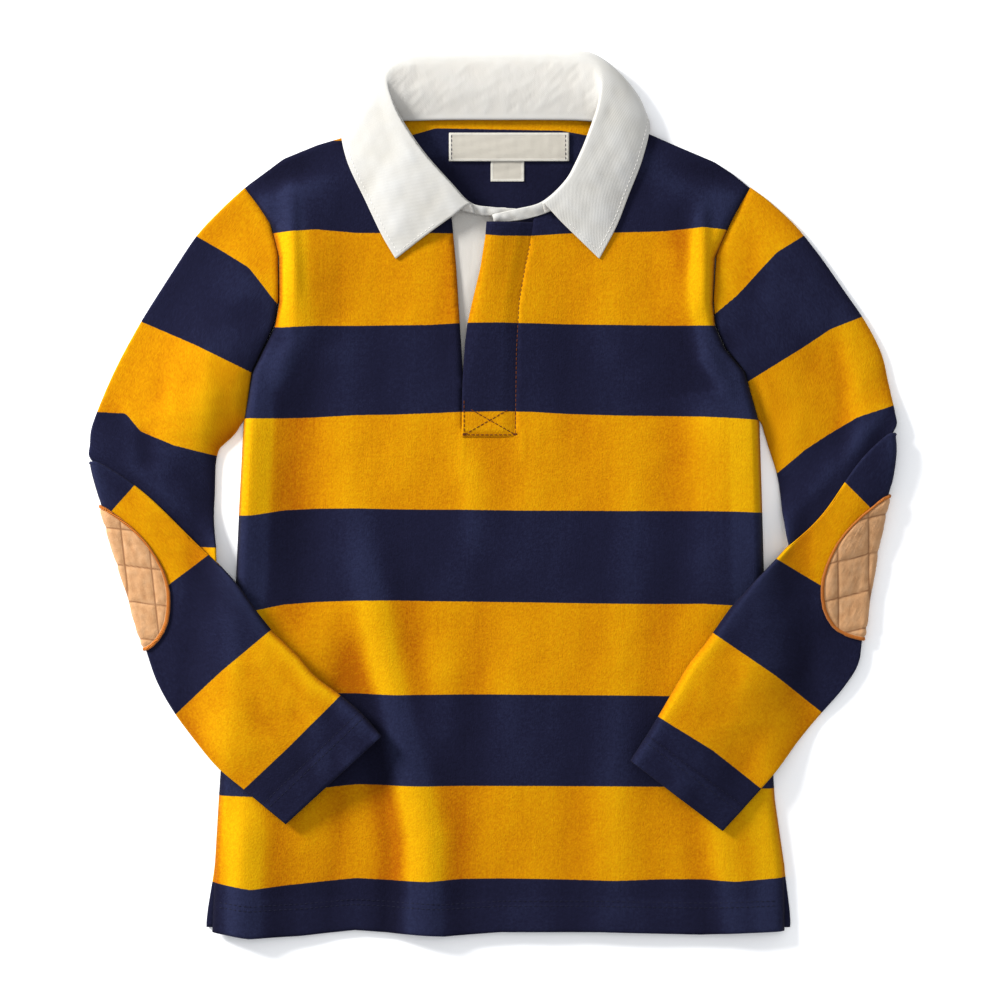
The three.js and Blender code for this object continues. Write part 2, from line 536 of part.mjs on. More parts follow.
function makeBack() {
  // The back's hem corners show beside the front's at the side vents.
  const vent = (u, v) => 4 * (2 * u - 1) ** 7 * (1 - smooth(0, 0.1, v));
  const place = (u, v) => {
    const { x, y } = bodyPlace(u, v, 0);
    return { x: x + vent(u, v), y: y + 3 * (1 - v) ** 6 };
  };
  return slabOver(evenly(15), BODY_ROWS, place, (x, y) => backBottom(y), CLOTH);
}

// Sleeves
const SHARES = ARM_LEVELS.map((y) => (TIP_Y - y) / (TIP_Y - ARMPIT_Y));
function lineDistance(a, b, x, y) {
  // Distance of a plan point from the line a-b, positive on its left.
  const length = Math.hypot(b.x - a.x, b.y - a.y);
  return ((b.x - a.x) * (y - a.y) - (b.y - a.y) * (x - a.x)) / length;
}
function segmentDistance(a, b, x, y) {
  const length = (b.x - a.x) ** 2 + (b.y - a.y) ** 2;
  const t = clamp01(((x - a.x) * (b.x - a.x) + (y - a.y) * (b.y - a.y)) / length);
  return Math.hypot(x - lerp(a.x, b.x, t), y - lerp(a.y, b.y, t));
}
function sleevePlan(side) {
  // What one sleeve's heights need: its tables, its fold lines and its patch, all in plan.
  const left = side === 'left';
  const upper = left ? UPPER_LEFT : UPPER_RIGHT;
  const forearm = left ? FOREARM_LEFT : FOREARM_RIGHT;
  const outerEnd = (row) => ({ x: row.ox, y: row.oy });
  const innerEnd = (row) => ({ x: row.ix, y: row.iy });
  return {
    sign: left ? 1 : -1,
    upper,
    forearm,
    folds: SLEEVE_FOLDS[side],
    edge: left ? leftEdge : rightEdge,
    ridge: [outerEnd(forearm[0]), innerEnd(forearm[0])],
    valley: [outerEnd(upper.at(-1)), innerEnd(upper.at(-1))],
    patch: [outerEnd(forearm[PATCH_FIRST_ROW]), outerEnd(forearm[PATCH_LAST_ROW])],
    bow: FOLD_BOW[side],
    patchReach: PATCH_REACH[side],
    patchUnder: PATCH_UNDER[side],
  };
}
// How far a plan point lies past a line, towards the cuff.
const past = (plan, line, x, y) => -plan.sign * lineDistance(line[0], line[1], x, y);
const patchLift = (plan, x, y) => PITCH * (1 - smooth(28, 62, segmentDistance(...plan.patch, x, y)));
function bodySupport(plan, x, y) {
  // Height of what the forearm lies on: the front and, just outside its edge, a slope down to the table.
  const inside = plan.sign * (x - plan.edge(y));
  const reached = smooth(-24, -1, inside);
  return reached * (frontTop(Math.max(leftEdge(y), Math.min(rightEdge(y), x)), y) + COVER);
}
function layerHeights(plan, nest, x, y) {
  // Lower and upper mid heights of the tube in the elbow's nest of folds: 2 is the upper arm, 0 the forearm.
  const near = smooth(-30, -1, past(plan, plan.ridge, x, y));
  const base = CLOTH / 2 + patchLift(plan, x, y) + near * bodySupport(plan, x, y);
  const swell = 1 - smooth(1, 34, past(plan, plan.valley, x, y));
  const lower = base + PITCH * nest * near;
  const stack = nest === 2 ? 0 : (4 - 2 * nest) * swell;
  return { lower, upper: lower + PITCH * (1 + stack), rest: nest === 2 ? 1 - near : 1 - swell };
}
function sleeveLoop(plan, row, nest) {
  // One loop of the tube's mid surface: out along the upper layer, back along the lower one.
  const inset = (PITCH * nest * row.tucked) / row.width;
  const lineAt = (share) => {
    const c = lerp(inset, 1 - inset, share);
    let x = lerp(row.ox, row.ix, c);
    let y = lerp(row.oy, row.iy, c);
    if (row.curve > 0) {
      const armY = lerp(TIP_Y, ARMPIT_Y, c);
      const chordX = lerp(plan.edge(TIP_Y), plan.edge(ARMPIT_Y), c);
      x += row.curve * (plan.edge(armY) - chordX);
    }
    const bow = plan.bow.once * Math.sin(Math.PI * c) + plan.bow.swing * Math.sin(2 * Math.PI * c);
    const moved = shifted(plan, row, -row.bow * bow);
    return { x: x + moved.ox - row.ox, y: y + moved.oy - row.oy };
  };
  const point = (share, over) => {
    const { x, y } = lineAt(share);
    const { lower, upper, rest } = layerHeights(plan, nest, x, y);
    const half = (upper - lower) / 2;
    const edgeShare = Math.min(0.12, half / row.width);
    const fromEnd = Math.min(share, 1 - share) / edgeShare;
    const round = fromEnd >= 1 ? 1 : Math.sqrt(Math.max(0, 1 - (1 - fromEnd) ** 2));
    const arch = Math.sin(Math.PI * share) ** 0.8;
    const seam = row.curve * armholeRise(y) * (over > 0 ? 1 : 0);
    const relief = (row.puff + foldsAt(plan.folds, x, y) * Math.min(1, row.puff)) * arch * rest;
    const puff = over > 0 ? relief + seam * round : 0;
    return new THREE.Vector3(x, y, (lower + upper) / 2 + over * half * round + puff);
  };
  const { x, y } = lineAt(0.02);
  const heights = layerHeights(plan, nest, x, y);
  const bend = Math.min(0.08, (heights.upper - heights.lower) / 2 / row.width);
  const shares = [bend * 0.3, bend, ...SHARES, 1 - bend, 1 - bend * 0.3];
  const over = shares.map((share) => point(share, 1));
  const under = [...shares].reverse().map((share) => point(share, -1));
  return [point(0, 0), ...over, point(1, 0), ...under];
}
function rowAt(rows, at) {
  const row = { tucked: 1, bow: 0 };
  for (const key of ['ox', 'oy', 'ix', 'iy', 'curve', 'puff']) {
    row[key] = key in rows[0] ? curved(rows, at, key) : 0;
  }
  row.curve = Math.max(0, row.curve);
  row.width = Math.hypot(row.ix - row.ox, row.iy - row.oy);
  return row;
}
function shifted(plan, row, distance) {
  // The row moved square to itself, towards the cuff.
  const nx = (plan.sign * (row.iy - row.oy)) / row.width;
  const ny = (plan.sign * -(row.ix - row.ox)) / row.width;
  const move = { x: nx * distance, y: ny * distance };
  return { ...row, ox: row.ox + move.x, oy: row.oy + move.y, ix: row.ix + move.x, iy: row.iy + move.y };
}
function sleeveRings(plan) {
  // All loops from armhole to cuff, with the elbow's tuck turned at its valley and at its ridge.
  const rings = [];
  const add = (row, nest) => rings.push(sleeveLoop(plan, row, nest));
  const turn = PITCH / 2;
  for (let i = 0; i + 1 < plan.upper.length; i += 1) add({ ...rowAt(plan.upper, i), tucked: TUCKED[i] }, 2);
  const valley = rowAt(plan.upper, plan.upper.length - 1);
  const ridge = { ...rowAt(plan.forearm, 0), bow: 1 };
  add(shifted(plan, valley, -turn), 2);
  add(valley, 1.5);
  add(shifted(plan, valley, -turn), 1);
  add(shifted(plan, ridge, turn), 1);
  add(ridge, 0.5);
  add(shifted(plan, ridge, turn), 0);
  const firstForearmRing = rings.length - 1;
  for (let i = 1; i < plan.forearm.length; i += 1) {
    add({ ...rowAt(plan.forearm, i), bow: BOW_LEFT_IN_ROW[i] ?? 0 }, 0);
  }
  return { rings, firstForearmRing, outward: plan.sign, reach: plan.patchReach, under: plan.patchUnder };
}
function quilt(along, across) {
  // Height of the quilted face, with a stitched channel every PATCH_CELL each way.
  const cell = (distance) => Math.abs(Math.sin((Math.PI * distance) / PATCH_CELL)) ** 0.5;
  return PATCH_QUILT * Math.min(cell(along), cell(across));
}
function makePatch(sleeve) {
  // The elbow patch: the sleeve's own outer skin round its edge, moved out and quilted.
  const skin = offset(sleeve.rings, normalsOf(sleeve.rings, true), (sleeve.outward * CLOTH) / 2);
  const normals = normalsOf(skin, true);
  const loop = skin[0].length;
  const onRing = (ring, side, reach) => {
    // Point and normal on one side of the folded edge, at a distance past the end of its bend.
    const at = (k) => (side * k + loop) % loop;
    let left = reach;
    for (let k = BEND_POINTS; ; k += 1) {
      const length = skin[ring][at(k)].distanceTo(skin[ring][at(k + 1)]);
      if (left <= length) {
        const t = left / length;
        const p = skin[ring][at(k)].clone().lerp(skin[ring][at(k + 1)], t);
        return { p, n: normals[ring][at(k)].clone().lerp(normals[ring][at(k + 1)], t).normalize() };
      }
      left -= length;
    }
  };
  const onBend = (ring, k) => {
    const j = (k + loop) % loop;
    return { p: skin[ring][j].clone(), n: normals[ring][j].clone() };
  };
  const first = sleeve.firstForearmRing + PATCH_FIRST_ROW;
  const span = PATCH_LAST_ROW - PATCH_FIRST_ROW;
  const length = skin[first][0].distanceTo(skin[first + span][0]);
  const inner = [];
  const outer = [];
  for (let i = 0; i <= PATCH_ROWS; i += 1) {
    const along = i / PATCH_ROWS;
    const ring = Math.min(first + span - 1, Math.floor(first + along * span));
    const t = first + along * span - ring;
    const shown = lookup(sleeve.reach, 'along', along, 'reach');
    const [edge, bendEnd] = [skin[ring][0], skin[ring][BEND_POINTS]];
    const rolled = Math.hypot(edge.x - bendEnd.x, edge.y - bendEnd.y);
    const flat = (part) => Math.max(0.6, part - rolled);
    const over = flat(shown);
    const under = flat(shown * sleeve.under);
    const columns = evenly(PATCH_COLUMNS).slice(1);
    const places = [
      ...columns.map((share) => ({ side: -1, reach: share * under, half: under })).reverse(),
      ...[-2, -1, 0, 1, 2].map((bend) => ({ bend, reach: 0, half: over })),
      ...columns.map((share) => ({ side: 1, reach: share * over, half: over })),
    ];
    const row = places.map(({ side, reach, bend, half }) => {
      const on = (index) => (side ? onRing(index, side, reach) : onBend(index, bend));
      const here = on(ring);
      const next = on(ring + 1);
      const p = here.p.lerp(next.p, t);
      const n = here.n.lerp(next.n, t).normalize();
      const inside = Math.min(1, (half - reach) / 3, (along * length) / 3, ((1 - along) * length) / 3);
      const raised = PATCH_AIR + CLOTH + inside * quilt(along * length, reach);
      const out = sleeve.outward;
      return [p.clone().addScaledVector(n, out * PATCH_AIR), p.clone().addScaledVector(n, out * raised)];
    });
    inner.push(row.map(([p]) => p));
    outer.push(row.map(([, p]) => p));
  }
  for (const p of [...inner, ...outer].flat()) p.z = Math.max(0, p.z);
  return slab(inner, outer);
}

// Collar
function bandShell() {
  const steps = 2;
  const grid = [];
  for (let i = 0; i <= (BAND.length - 1) * steps; i += 1) {
    const at = i / steps;
    const seam = new THREE.Vector3(curved(BAND, at, 'nx'), curved(BAND, at, 'ny'), curved(BAND, at, 'nz'));
    const top = new THREE.Vector3(curved(BAND, at, 'tx'), curved(BAND, at, 'ty'), curved(BAND, at, 'tz'));
    const sag = top.distanceTo(seam) * 0.06;
    grid.push([0, 0.33, 0.67, 1].map((t) => {
      const p = seam.clone().lerp(top, t);
      p.z += sag * Math.sin(Math.PI * t);
      return p;
    }));
  }
  return shell(grid, CLOTH);
}
function leafShell() {
  // The leaf starts just over and outside the band's top edge, bends and falls to its outer edge.
  const steps = 2;
  const rows = LEAF.length - 1;
  const grid = [];
  for (let i = 0; i <= rows * steps; i += 1) {
    const at = i / steps;
    const corner = (table, row, prefix) =>
      new THREE.Vector3(
        curved(table, row, `${prefix}x`),
        curved(table, row, `${prefix}y`),
        curved(table, row, `${prefix}z`),
      );
    const bend = corner(LEAF, at, 'b');
    const fold = corner(BAND, LEAF_FIRST_ROW + at, 't');
    const outward = bend.clone().sub(fold).setZ(0).setLength(LEAF_CLEAR.out);
    fold.add(outward).setZ(fold.z + LEAF_CLEAR.up);
    const line = new THREE.CatmullRomCurve3([fold, bend, corner(LEAF, at, 'm'), corner(LEAF, at, 'e')]);
    grid.push([0, 0.14, 0.3, 0.45, 0.6, 0.8, 1].map((t) => line.getPoint(t)));
  }
  return shell(grid, CLOTH);
}

// Placket and labels
function makeUpperLap() {
  const place = (u, v) => {
    const y = lerp(LAP.bottom, LAP.top, v);
    return { x: lerp(lookup(LAP_FREE_EDGE, 'y', y, 'x'), LAP.right, u), y };
  };
  const lifted = (x, y) => {
    const free = smooth(12, -12, x) * smooth(70, 160, y);
    return frontTop(x, y) + GAP + 1.6 * free;
  };
  return slabOver(evenly(5), evenly(14), place, lifted, CLOTH);
}
function rectangle(area) {
  return (u, v) => ({ x: lerp(area.left, area.right, u), y: lerp(area.bottom, area.top, v) });
}
function makeUnderLap() {
  return slabOver(evenly(3), evenly(8), rectangle(UNDER_LAP), (x, y) => backTop(y) + 0.8, CLOTH);
}
function makeLabel(area) {
  return slabOver(evenly(3), evenly(6), rectangle(area), (x, y) => backTop(y) + LAID, LABEL);
}

// Assembly
const shirt = new THREE.Group();
function addPiece(name, geometry, colour) {
  const material = new THREE.MeshStandardMaterial({ color: colour, roughness: 0.92, metalness: 0 });
  const mesh = new THREE.Mesh(geometry, material);
  mesh.name = name;
  shirt.add(mesh);
}

addPiece('back_panel', makeBack(), COLOURS.jersey);
addPiece('front_panel', makeFront(), COLOURS.jersey);
for (const side of ['left', 'right']) {
  const sleeve = sleeveRings(sleevePlan(side));
  addPiece(`sleeve_${side}`, tube(sleeve.rings, CLOTH), COLOURS.jersey);
  addPiece(`elbow_patch_${side}`, makePatch(sleeve), COLOURS.patch);
}
addPiece('collar_band', bandShell(), COLOURS.twill);
addPiece('collar_leaf', leafShell(), COLOURS.twill);
addPiece('placket_upper_lap', makeUpperLap(), COLOURS.jersey);
addPiece('placket_under_lap', makeUnderLap(), COLOURS.twill);
addPiece('neck_label', makeLabel(NECK_LABEL), COLOURS.label);
addPiece('size_tab', makeLabel(SIZE_TAB), COLOURS.label);

export default shirt;
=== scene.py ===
"""A child's striped rugby shirt, laid flat with its sleeves folded over the front, dressed over its solids.

Sizes are in millimetres until a mesh is made. +X is the viewer's right, +Y points to the collar and +Z is
up off the table that the shirt lies on.
"""
import logging
import math
from dataclasses import dataclass, field
from enum import Enum
from typing import Any, Dict, Iterable, List, Optional, Sequence, Tuple

import bpy
import numpy as np
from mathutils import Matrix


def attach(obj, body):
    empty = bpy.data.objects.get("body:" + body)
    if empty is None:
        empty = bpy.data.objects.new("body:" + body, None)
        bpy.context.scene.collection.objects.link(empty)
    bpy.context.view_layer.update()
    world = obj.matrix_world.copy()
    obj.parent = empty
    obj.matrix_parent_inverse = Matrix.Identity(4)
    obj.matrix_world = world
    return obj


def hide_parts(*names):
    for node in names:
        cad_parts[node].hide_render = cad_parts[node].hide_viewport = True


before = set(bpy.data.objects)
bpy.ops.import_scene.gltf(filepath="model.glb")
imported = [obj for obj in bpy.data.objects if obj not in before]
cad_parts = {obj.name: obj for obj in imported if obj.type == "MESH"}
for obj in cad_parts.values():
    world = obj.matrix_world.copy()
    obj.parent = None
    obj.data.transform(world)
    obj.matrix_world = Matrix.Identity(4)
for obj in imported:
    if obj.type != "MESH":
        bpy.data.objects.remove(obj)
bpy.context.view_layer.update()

LOG = logging.getLogger("rugby_shirt")

Colour = Tuple[float, float, float, float]
Rows = Tuple[Tuple[float, ...], ...]

MM = 0.001
CLOTH = 1.2  # wall of jersey, twill and patch
GAP = 0.4  # air between two layers of a folded sleeve
PITCH = CLOTH + GAP
LAID = 0.7  # air between the back and what lies on it
COVER = 0.9  # air under a sleeve that lies on the front
BODY = "root"
CLOTH_MAP = "Cloth"


class Side(Enum):
    """The viewer's left or right; the value is the sign that points to the body."""

    LEFT = 1
    RIGHT = -1

    @property
    def word(self) -> str:
        """The side's name inside piece names."""
        return self.name.lower()


class Slot(Enum):
    """The record's material slots."""

    JERSEY = "striped_jersey"
    TWILL = "white_twill"
    PATCH = "tan_patch"
    LABEL = "cream_label"


def linear(red: int, green: int, blue: int) -> Colour:
    """A linear colour from display values between 0 and 255."""
    def one(value: int) -> float:
        share = value / 255
        return share / 12.92 if share <= 0.04045 else ((share + 0.055) / 1.055) ** 2.4

    return (one(red), one(green), one(blue), 1.0)


# Numbers and curves


def smooth(start: float, end: float, value: Any) -> Any:
    """Eases from 0 at start to 1 at end."""
    share = np.clip((value - start) / (end - start), 0.0, 1.0)
    return share * share * (3 - 2 * share)


def lookup(rows: Rows, at: Any, column: int = 1) -> Any:
    """The value in a column where column 0 has the value at, straight between rows."""
    table = np.asarray(rows, float)
    return np.interp(at, table[:, 0], table[:, column])


def curved(rows: Sequence[Sequence[float]], at: float) -> np.ndarray:
    """Every column at a fractional row number, on a smooth curve through the rows."""
    table = np.asarray(rows, float)
    index = min(len(table) - 2, max(0, math.floor(at)))
    share = at - index
    here, after = table[index], table[index + 1]
    before = table[index - 1] if index > 0 else 2 * here - after
    beyond = table[index + 2] if index + 2 < len(table) else 2 * after - here
    bend = (2 * before - 5 * here + 4 * after - beyond) * share**2
    bend = bend + (3 * (here - after) + beyond - before) * share**3
    return 0.5 * (2 * here + (after - before) * share + bend)


def hung_line(corners: Sequence[np.ndarray], shares: np.ndarray) -> np.ndarray:
    """Points on a smooth line through a few corners that doesn't overshoot close corners.

    Args:
        corners: The corner points, in order.
        shares: Places along the line, from 0 to 1.

    Returns:
        One point for each share.
    """
    points = [2 * corners[0] - corners[1], *corners, 2 * corners[-1] - corners[-2]]
    spans = len(corners) - 1
    found = []
    for share in shares:
        place = share * spans
        index = min(spans - 1, int(place))
        t = place - index
        p0, p1, p2, p3 = points[index : index + 4]
        d0, d1, d2 = (max(1e-4, float(np.linalg.norm(b - a)) ** 0.5) for a,
            b in ((p0, p1), (p1, p2), (p2, p3)))
        leave = ((p1 - p0) / d0 - (p2 - p0) / (d0 + d1) + (p2 - p1) / d1) * d1
        reach = ((p2 - p1) / d1 - (p3 - p1) / (d1 + d2) + (p3 - p2) / d2) * d1
        found.append(
            p1 + leave * t + (3 * (p2 - p1) - 2 * leave - reach) * t**2 + (2 * (p1 - p2) + leave + reach) * t**3
        )
    return np.array(found)


def ripple(x: Any, y: Any, spacing: float, seed: int) -> Any:
    """Soft unevenness of cloth, roughly between -1 and 1, with features about spacing across."""
    rng = np.random.default_rng(seed)
    total = 0.0
    for _ in range(8):
        angle = rng.uniform(0, 2 * math.pi)
        pace = 2 * math.pi / spacing * rng.uniform(0.55, 1.5)
        total = total + np.sin(pace * (x * math.cos(angle) + y * math.sin(angle)) + rng.uniform(0, 6.28))
    return total / 3.2


def signed_distance(line: Sequence[Tuple[float, float]], x: np.ndarray, y: np.ndarray) -> np.ndarray:
    """Distance of plan points from a polyline whose ends run on, positive on its right.

    Args:
        line: The polyline's corners.
        x: Plan positions across.
        y: Plan positions up.

    Returns:
        The signed distances.
    """
    best = np.full(np.shape(x), 1e9)
    signed = np.zeros(np.shape(x))
    last = len(line) - 2
    for index in range(len(line) - 1):
        (ax, ay), (bx, by) = line[index], line[index + 1]
        length = math.hypot(bx - ax, by - ay)
        ux, uy = (bx - ax) / length, (by - ay) / length
        along = (x - ax) * ux + (y - ay) * uy
        low = -1e9 if index == 0 else 0.0
        high = 1e9 if index == last else length
        held = np.clip(along, low, high)
        distance = np.hypot(x - ax - held * ux, y - ay - held * uy)
        side = (x - ax) * uy - (y - ay) * ux
        nearer = distance < best
        best = np.where(nearer, distance, best)
        signed = np.where(nearer, np.copysign(distance, side), signed)
    return signed


@dataclass(frozen=True)
class Fold:
    """A soft fold: its crest from the upper end down, its rise and how far it reaches to each side."""

    crest: Tuple[Tuple[float, float], ...]
    height: float
    left: float
    right: float
    open: bool = False

    def rise(self, x: np.ndarray, y: np.ndarray) -> np.ndarray:
        """Height that the fold adds at plan points."""
        best = np.full(np.shape(x), 1e9)
        crest_x = np.zeros(np.shape(x))
        place = np.zeros(np.shape(x))
        run = 0.0
        for (ax, ay), (bx, by) in zip(self.crest, self.crest[1:]):
            length = math.hypot(bx - ax, by - ay)
            t = np.clip(((x - ax) * (bx - ax) + (y - ay) * (by - ay)) / length**2, 0, 1)
            at_x = ax + (bx - ax) * t
            distance = np.hypot(x - at_x, y - ay - (by - ay) * t)
            nearer = distance < best
            best = np.where(nearer, distance, best)
            crest_x = np.where(nearer, at_x, crest_x)
            place = np.where(nearer, run + t * length, place)
            run += length
        share = place / run
        taper = smooth(0, 0.35, share) * (1 if self.open else 1 - smooth(0.65, 1, share))
        reach = np.where(x < crest_x, self.left, self.right)
        return self.height * taper * np.exp(-((best / reach) ** 2))


# Cloth meshes


@dataclass
class Cloth:
    """A grid of cloth: the points half way through its wall, and what varies over them.

    Attributes:
        points: Rows by columns of points.
        wall: Thickness, one number or one for each point.
        closed: Whether each row is a loop.
        keep: Cells that are cloth, or None for all.
        fields: Named numbers for each point, for the finish.
        spread: Place on the flat cloth in metres for each point; a closed grid has one more column.
    """

    points: np.ndarray
    wall: Any = CLOTH
    closed: bool = False
    keep: Optional[np.ndarray] = None
    fields: Dict[str, np.ndarray] = field(default_factory=dict)
    spread: Optional[np.ndarray] = None

    def normals(self) -> np.ndarray:
        """Unit normals of the grid, pointing out of a closed grid and up from an open one."""
        if self.closed:
            across = np.roll(self.points, -1, 1) - np.roll(self.points, 1, 1)
        else:
            across = np.gradient(self.points, axis=1)
        along = np.gradient(self.points, axis=0)
        normal = np.cross(across, along)
        length = np.linalg.norm(normal, axis=2, keepdims=True)
        normal = normal / np.maximum(length, 1e-9)
        if self.closed:
            inward = self.points - self.points.mean(1, keepdims=True)
            return normal if (inward * normal).sum() > 0 else -normal
        return normal if normal[..., 2].sum() > 0 else -normal

    def area(self) -> float:
        """Area of one face of the cloth in square metres."""
        p = np.concatenate([self.points, self.points[:, :1]], 1) if self.closed else self.points
        diagonals = np.cross(p[1:, 1:] - p[:-1, :-1], p[1:, :-1] - p[:-1, 1:])
        cells = np.linalg.norm(diagonals, axis=2) / 2
        return float(cells[self.keep].sum() if self.keep is not None else cells.sum()) * MM * MM

    def build(self, name: str, material: bpy.types.Material) -> bpy.types.Object:
        """Makes the closed thin-walled mesh with rolled edges.

        Args:
            name: The piece's name.
            material: Its finish.

        Returns:
            The new object.
        """
        rows, columns = self.points.shape[:2]
        wide = columns + 1 if self.closed else columns
        grid = np.arange(rows)[:, None] * columns + (np.arange(wide) % columns)[None, :]
        chart = np.arange(rows)[:, None] * wide + np.arange(wide)[None, :]
        cells = np.ones((rows - 1, wide - 1), bool) if self.keep is None else self.keep

        def corners(index: np.ndarray) -> np.ndarray:
            quads = np.stack([index[:-1, :-1], index[:-1, 1:], index[1:, 1:], index[1:, :-1]], 2)
            return quads[cells]

        top, top_chart = corners(grid), corners(chart)
        count = rows * columns
        normal = self.normals().reshape(-1, 3)
        middle = self.points.reshape(-1, 3)
        half = np.broadcast_to(np.asarray(self.wall, float), (rows, columns)).reshape(-1, 1) / 2
        starts = top.reshape(-1)
        ends = np.roll(top, -1, 1).reshape(-1)
        chart_starts = top_chart.reshape(-1)
        chart_ends = np.roll(top_chart, -1, 1).reshape(-1)
        rim = ~np.isin(starts.astype(np.int64) * count + ends, ends.astype(np.int64) * count + starts)
        a, b, ca, cb = starts[rim], ends[rim], chart_starts[rim], chart_ends[rim]
        out = np.zeros_like(middle)
        push = np.cross(middle[b] - middle[a], normal[a])
        inside = middle[top].mean(1)[np.repeat(np.arange(len(top)), 4)[rim]]
        push *= np.sign(((middle[a] - inside) * push).sum(1, keepdims=True))
        np.add.at(out, a, push)
        np.add.at(out, b, push)
        out /= np.maximum(np.linalg.norm(out, axis=1, keepdims=True), 1e-9)
        verts = np.concatenate([middle + normal * half, middle - normal * half, middle + out * half * 0.6])
        faces = np.concatenate(
            [
                top,
                top[:, ::-1] + count,
                np.stack([b, a, a + 2 * count, b + 2 * count], 1),
                np.stack([b + 2 * count, a + 2 * count, a + count, b + count], 1),
            ]
        )
        charts = np.concatenate(
            [top_chart, top_chart[:, ::-1], np.stack([cb, ca, ca, cb], 1), np.stack([cb, ca, ca, cb], 1)]
        )
        used, compact = np.unique(faces, return_inverse=True)
        compact = compact.reshape(faces.shape)
        verts = verts[used]
        verts[:, 2] = np.maximum(verts[:, 2], 0.0)
        tri = verts[compact]
        volume = (tri[:, 0] * np.cross(tri[:, 1], tri[:, 2])).sum() + (tri[:, 0] * np.cross(tri[:, 2],
            tri[:, 3])).sum()
        if volume < 0:
            compact, charts = compact[:, ::-1], charts[:, ::-1]
        mesh = bpy.data.meshes.new(name)
        mesh.from_pydata((verts * MM).tolist(), [], compact.tolist())
        mesh.polygons.foreach_set("use_smooth", np.ones(len(compact), bool))
        for key, values in self.fields.items():
            layer = mesh.attributes.new(key, "FLOAT", "POINT")
            layer.data.foreach_set("value", values.reshape(-1)[used % count].astype(np.float32))
        if self.spread is not None:
            layer = mesh.uv_layers.new(name=CLOTH_MAP)
            layer.data.foreach_set("uv",
                self.spread.reshape(-1, 2)[charts.reshape(-1)].reshape(-1).astype(np.float32))
        mesh.materials.append(material)
        thing = bpy.data.objects.new(name, mesh)
        bpy.context.scene.collection.objects.link(thing)
        return thing


@dataclass
class Thread:
    """A row of sewn stitches along a path that lies on the cloth."""

    length: float = 2.3
    space: float = 0.9
    radius: float = 0.24
    seed: int = 7

    def build(self, name: str, runs: Iterable[np.ndarray], material: bpy.types.Material) -> bpy.types.Object:
        """Makes all the stitches of one seam as one mesh.

        Args:
            name: The piece's name.
            runs: Paths on the cloth's surface.
            material: The thread's finish.

        Returns:
            The new object.
        """
        rng = np.random.default_rng(self.seed)
        shares = np.array([-1.0, -0.72, 0.0, 0.72, 1.0])
        swell = np.array([0.25, 0.85, 1.0, 0.85, 0.25])
        turns = np.linspace(0, 2 * math.pi, 7)[:-1]
        verts: List[np.ndarray] = []
        faces: List[Tuple[int, ...]] = []
        for run in runs:
            steps = np.linalg.norm(np.diff(run, axis=0), axis=1)
            total = np.concatenate([[0], np.cumsum(steps)])
            for start in np.arange(0.3, total[-1] - self.length, self.length + self.space):
                places = start + (shares + 1) / 2 * self.length * rng.uniform(0.94, 1.04)
                line = np.stack([np.interp(places, total, run[:, k]) for k in range(3)], 1)
                ahead = line[-1] - line[0]
                ahead /= max(1e-6, float(np.linalg.norm(ahead)))
                side = np.cross(ahead, (0.0, 0.0, 1.0))
                side /= max(1e-6, float(np.linalg.norm(side)))
                up = np.cross(side, ahead)
                sink = -0.55 * self.radius * (1 - swell)
                base = sum(len(v) for v in verts)
                rings = [
                    line[k] + up * (sink[k] + self.radius * 0.35)
                    + self.radius * swell[k] * (np.outer(np.cos(turns),
                        side) + 0.8 * np.outer(np.sin(turns), up))
                    for k in range(len(shares))
                ]
                verts.append(np.concatenate(rings))
                sides = len(turns)
                for ring in range(len(shares) - 1):
                    for k in range(sides):
                        low, high = base + ring * sides, base + (ring + 1) * sides
                        nxt = (k + 1) % sides
                        faces.append((low + k, low + nxt, high + nxt, high + k))
                faces.append(tuple(base + k for k in reversed(range(sides))))
                faces.append(tuple(base + (len(shares) - 1) * sides + k for k in range(sides)))
        points = np.concatenate(verts)
        points[:, 2] = np.maximum(points[:, 2], 0.0)
        mesh = bpy.data.meshes.new(name)
        mesh.from_pydata((points * MM).tolist(), [], faces)
        mesh.polygons.foreach_set("use_smooth", np.ones(len(faces), bool))
        mesh.materials.append(material)
        thing = bpy.data.objects.new(name, mesh)
        bpy.context.scene.collection.objects.link(thing)
        return thing


def place_piece(thing: bpy.types.Object, slot: Slot, *nodes: str) -> bpy.types.Object:
    """Rides a piece on the shirt, hides the parts that it stands for, and reports it."""
    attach(thing, BODY)
    if nodes:
        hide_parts(*nodes)
    LOG.info("%s: %d faces", thing.name, len(thing.data.polygons))
    return thing


# Shader graph


class Value:
    """A number that varies over a surface, with Python's operators."""

    def __init__(self, graph: "Graph", socket: bpy.types.NodeSocket) -> None:
        """Wraps an output socket of a graph."""
        self.graph = graph
        self.socket = socket

    def _with(self, operation: str, first: Any, second: Any) -> "Value":
        """Adds a Math node for an operation on two values."""
        return self.graph.add("ShaderNodeMath", {"operation": operation}, {0: first, 1: second})

    def __add__(self, other: Any) -> "Value":
        """This value plus another."""
        return self._with("ADD", self, other)

    __radd__ = __add__

    def __sub__(self, other: Any) -> "Value":
        """This value less another."""
        return self._with("SUBTRACT", self, other)

    def __rsub__(self, other: Any) -> "Value":
        """Another value less this one."""
        return self._with("SUBTRACT", other, self)

    def __mul__(self, other: Any) -> "Value":
        """This value times another."""
        return self._with("MULTIPLY", self, other)

    __rmul__ = __mul__

    def __truediv__(self, other: Any) -> "Value":
        """This value divided by another."""
        return self._with("DIVIDE", self, other)

    def held(self) -> "Value":
        """This value kept between 0 and 1."""
        return self.graph.add("ShaderNodeClamp", {}, {"Value": self})

    def back_and_forth(self, reach: float) -> "Value":
        """This value run to reach and back again, over and over."""
        return self._with("PINGPONG", self, reach)

    def wave(self) -> "Value":
        """The sine of this value."""
        return self._with("SINE", self, 0.0)


